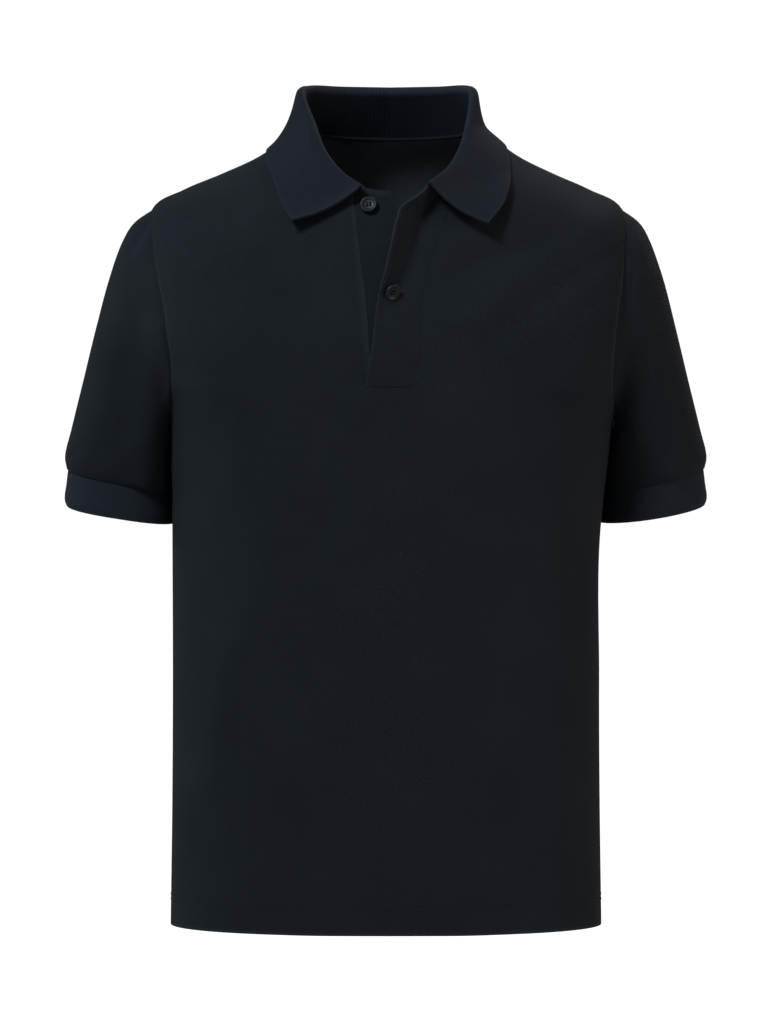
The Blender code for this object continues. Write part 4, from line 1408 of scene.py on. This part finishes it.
def buttonhole(name, x, z, cloth):
    """A buttonhole's oversewing: short threads out from both sides of the slit, and end bars."""
    tree = tree_of(cloth)
    starts, ends, facings = [], [], []
    half = BUTTONHOLE_LENGTH / 2
    heights = np.arange(-half, half, BUTTONHOLE_PITCH)
    bars = [end + apart for end in (-half, half) for apart in BUTTONHOLE_BAR]
    across = [(BUTTONHOLE_SLIT, BUTTONHOLE_HALF, h) for h in heights]
    across += [(-BUTTONHOLE_SLIT, -BUTTONHOLE_HALF, h) for h in heights]
    across += [(-BUTTONHOLE_HALF, BUTTONHOLE_HALF, h) for h in bars]
    for near, far, h in across:
        start, facing = on_cloth(tree, x + near, z + h)
        end, _ = on_cloth(tree, x + far, z + h)
        starts.append(start)
        ends.append(end)
        facings.append(facing)
    size = (BUTTONHOLE_THREAD_RADIUS, BUTTONHOLE_THREAD_RISE)
    sewn = spindles(name, np.array(starts), np.array(ends), np.array(facings), *size)
    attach(sewn, "root")


DONE_UP = (3.3, -94.0)
buttonhole("buttonhole_undone", 21.5, -40.0, over_face)
buttonhole("buttonhole_done_up", *DONE_UP, over_face)
sewn_button("button_undone", "button_top", -11.3, -36.4, under_grid, lean=(0, 0, 0))
sewn_button("button_done_up", "button_lower", *DONE_UP, over_face, lean=(0.08, 0, -0.45))

# ---------------------------------------------------------------------------------------------
# Stitching. Navy lockstitch: two rows round the hem, one along each side of the over band, and
# a box at its foot, each stitch sunk a little in the cloth.

STITCH_PITCH = 2.9
STITCH_LENGTH = 2.3
STITCH_RADIUS = 0.28
STITCH_RISE = 0.16
STITCH_SINK = 0.05
STITCH_LINE_STEP = 1.5
HEM_ROWS_HIGH = (17.0, 20.4)
FREE_SIDE_IN = 2.2
SEWN_SIDE_IN = 2.0
SEWN_SIDE_BELOW = -112
BOX_LOW, BOX_HIGH, BOX_RIGHT = -155.4, -142.0, 20.2


def stitched(name, points, facings, closed=False):
    """A row of stitches along a line on the cloth."""
    if closed:
        points = np.concatenate([points, points[:1]])
        facings = np.concatenate([facings, facings[:1]])
    run = np.concatenate([[0], np.cumsum(np.linalg.norm(np.diff(points, axis=0), axis=1))])
    count = max(int(run[-1] / STITCH_PITCH), 1)
    begin = np.arange(count) * run[-1] / count

    def at(values, where):
        return np.stack([np.interp(where, run, values[:, k]) for k in range(3)], axis=1)

    starts, ends = at(points, begin), at(points, np.minimum(begin + STITCH_LENGTH, run[-1]))
    facing = unit(at(facings, begin + STITCH_LENGTH / 2))
    sink = STITCH_SINK * facing
    return spindles(name, starts - sink, ends - sink, facing, STITCH_RADIUS, STITCH_RISE)


def stitch_line(name, cloth_tree, corners):
    """Stitches along straight runs between corners, each x and z, on the cloth behind them."""
    points, facings = [], []
    for (x0, z0), (x1, z1) in zip(corners, corners[1:]):
        steps = max(int(math.hypot(x1 - x0, z1 - z0) / STITCH_LINE_STEP), 1)
        for i in range(steps):
            x, z = x0 + (x1 - x0) * i / steps, z0 + (z1 - z0) * i / steps
            point, facing = on_cloth(cloth_tree, x, z)
            points.append(point)
            facings.append(facing)
    point, facing = on_cloth(cloth_tree, *corners[-1])
    return stitched(name, np.array(points + [point]), np.array(facings + [facing]))


rows = []
near_hem = slice(None, HEM_STEPS + 20)
hem_tree = tree_of(front[near_hem], back[near_hem])
hem_turns = np.arange(0, 360, 0.75)
for i, above_edge in enumerate(HEM_ROWS_HIGH):
    level = above_edge / (BODY["side_z"][1] - BODY["side_z"][0]) * BODY["level"][1]
    points, facings = [], []
    for point in torso(hem_turns, np.full(len(hem_turns), level)):
        near, normal, _, _ = hem_tree.find_nearest(point.tolist())
        points.append(near)
        facings.append(normal)
    sewn_row = stitched(f"hem_stitches_{i + 1}", np.array(points), np.array(facings), closed=True)
    rows.append(sewn_row)

over_tree = tree_of(over_face)
heights = np.linspace(-147, -47, 30)
free_side = [(follow(PLACKET, "over_free", z) + FREE_SIDE_IN, z) for z in heights]
sewn_heights = heights[heights < SEWN_SIDE_BELOW]
sewn_side = [(follow(PLACKET, "over_right", z) - SEWN_SIDE_IN, z) for z in sewn_heights]
rows.append(stitch_line("over_band_free_stitches", over_tree, free_side))
rows.append(stitch_line("over_band_sewn_stitches", over_tree, sewn_side))
low, high = (
    [(follow(PLACKET, "over_free", z) + SEWN_SIDE_IN, z), (BOX_RIGHT, z)]
    for z in (BOX_LOW, BOX_HIGH)
)
box = [*low, *high[::-1], low[0]]
rows.append(stitch_line("over_band_box_stitches", over_tree, box))
for piece in rows:
    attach(piece, "root")

# ---------------------------------------------------------------------------------------------
# Studio. A pale floor where the wearer would stand, a soft light from the upper left, a fill
# from the right and two lights behind. None of it belongs to the shirt.

PIXEL_MM = 0.68
PICTURE_HIGH = 1024
SENSOR_MM = 36
FLOOR_GLOW = 0.9
SKY_LIGHT = 0.24
SKY_SEEN = 0.80
EYE = Vector((0.0, -2.9, -0.2394))
FLOOR_Z = -1.05


def soft_light(name, place, aim, size, power, colour):
    """A round soft light, aimed at a point."""
    data = bpy.data.lights.new(name, "AREA")
    data.shape = "DISK"
    data.size = size
    data.energy = power
    data.color = colour
    light = bpy.data.objects.new(name, data)
    light.location = place
    light.rotation_euler = (Vector(aim) - Vector(place)).to_track_quat("-Z", "Y").to_euler()
    bpy.context.collection.objects.link(light)


soft_light("key", (-0.85, -1.05, 1.25), (0, 0, -0.1), 0.56, 49, (0.95, 1.0, 1.06))
soft_light("fill", (2.9, -1.1, 0.3), (0, 0, -0.2), 1.6, 46, (1.14, 0.97, 0.96))
soft_light("left_edge", (-2.4, 0.9, 0.5), (0, 0, -0.2), 0.9, 26, (0.95, 1.0, 1.04))
soft_light("behind", (0.9, 2.2, 1.7), (0, 0, -0.2), 1.4, 40, (1.0, 1.0, 1.0))

bpy.ops.mesh.primitive_plane_add(size=40, location=(0, 0, FLOOR_Z))
floor = bpy.context.object
floor.name = "studio_floor"
floor_paint = bpy.data.materials.new("studio_floor")
floor_paint.use_nodes = True
paint = floor_paint.node_tree.nodes["Principled BSDF"]
paint.inputs["Base Color"].default_value = (0.9, 0.9, 0.9, 1)
paint.inputs["Roughness"].default_value = 0.9
paint.inputs["Emission Color"].default_value = (1, 1, 1, 1)
floor_seen = floor_paint.node_tree.nodes.new("ShaderNodeLightPath")
glow = math_node(
    floor_paint.node_tree, "MULTIPLY", floor_seen.outputs["Is Camera Ray"], FLOOR_GLOW
)
floor_paint.node_tree.links.new(glow, paint.inputs["Emission Strength"])
floor.data.materials.append(floor_paint)

world = bpy.data.worlds.new("studio")
world.use_nodes = True
sky = world.node_tree
background = sky.nodes["Background"]
background.inputs["Color"].default_value = (1, 1, 1, 1)
seen = sky.nodes.new("ShaderNodeLightPath")
strength = math_node(
    sky, "MULTIPLY_ADD", seen.outputs["Is Camera Ray"], SKY_SEEN, SKY_LIGHT
)
sky.links.new(strength, background.inputs["Strength"])
bpy.context.scene.world = world

camera_data = bpy.data.cameras.new("camera")
camera_data.sensor_width = SENSOR_MM
camera_data.sensor_fit = "AUTO"
camera_data.lens = SENSOR_MM * -EYE.y / (PICTURE_HIGH * PIXEL_MM * MM)
camera = bpy.data.objects.new("camera", camera_data)
camera.location = EYE
camera.rotation_euler = (math.radians(90), 0, 0)
bpy.context.collection.objects.link(camera)
bpy.context.scene.camera = camera
bpy.context.scene.view_settings.view_transform = "Standard"
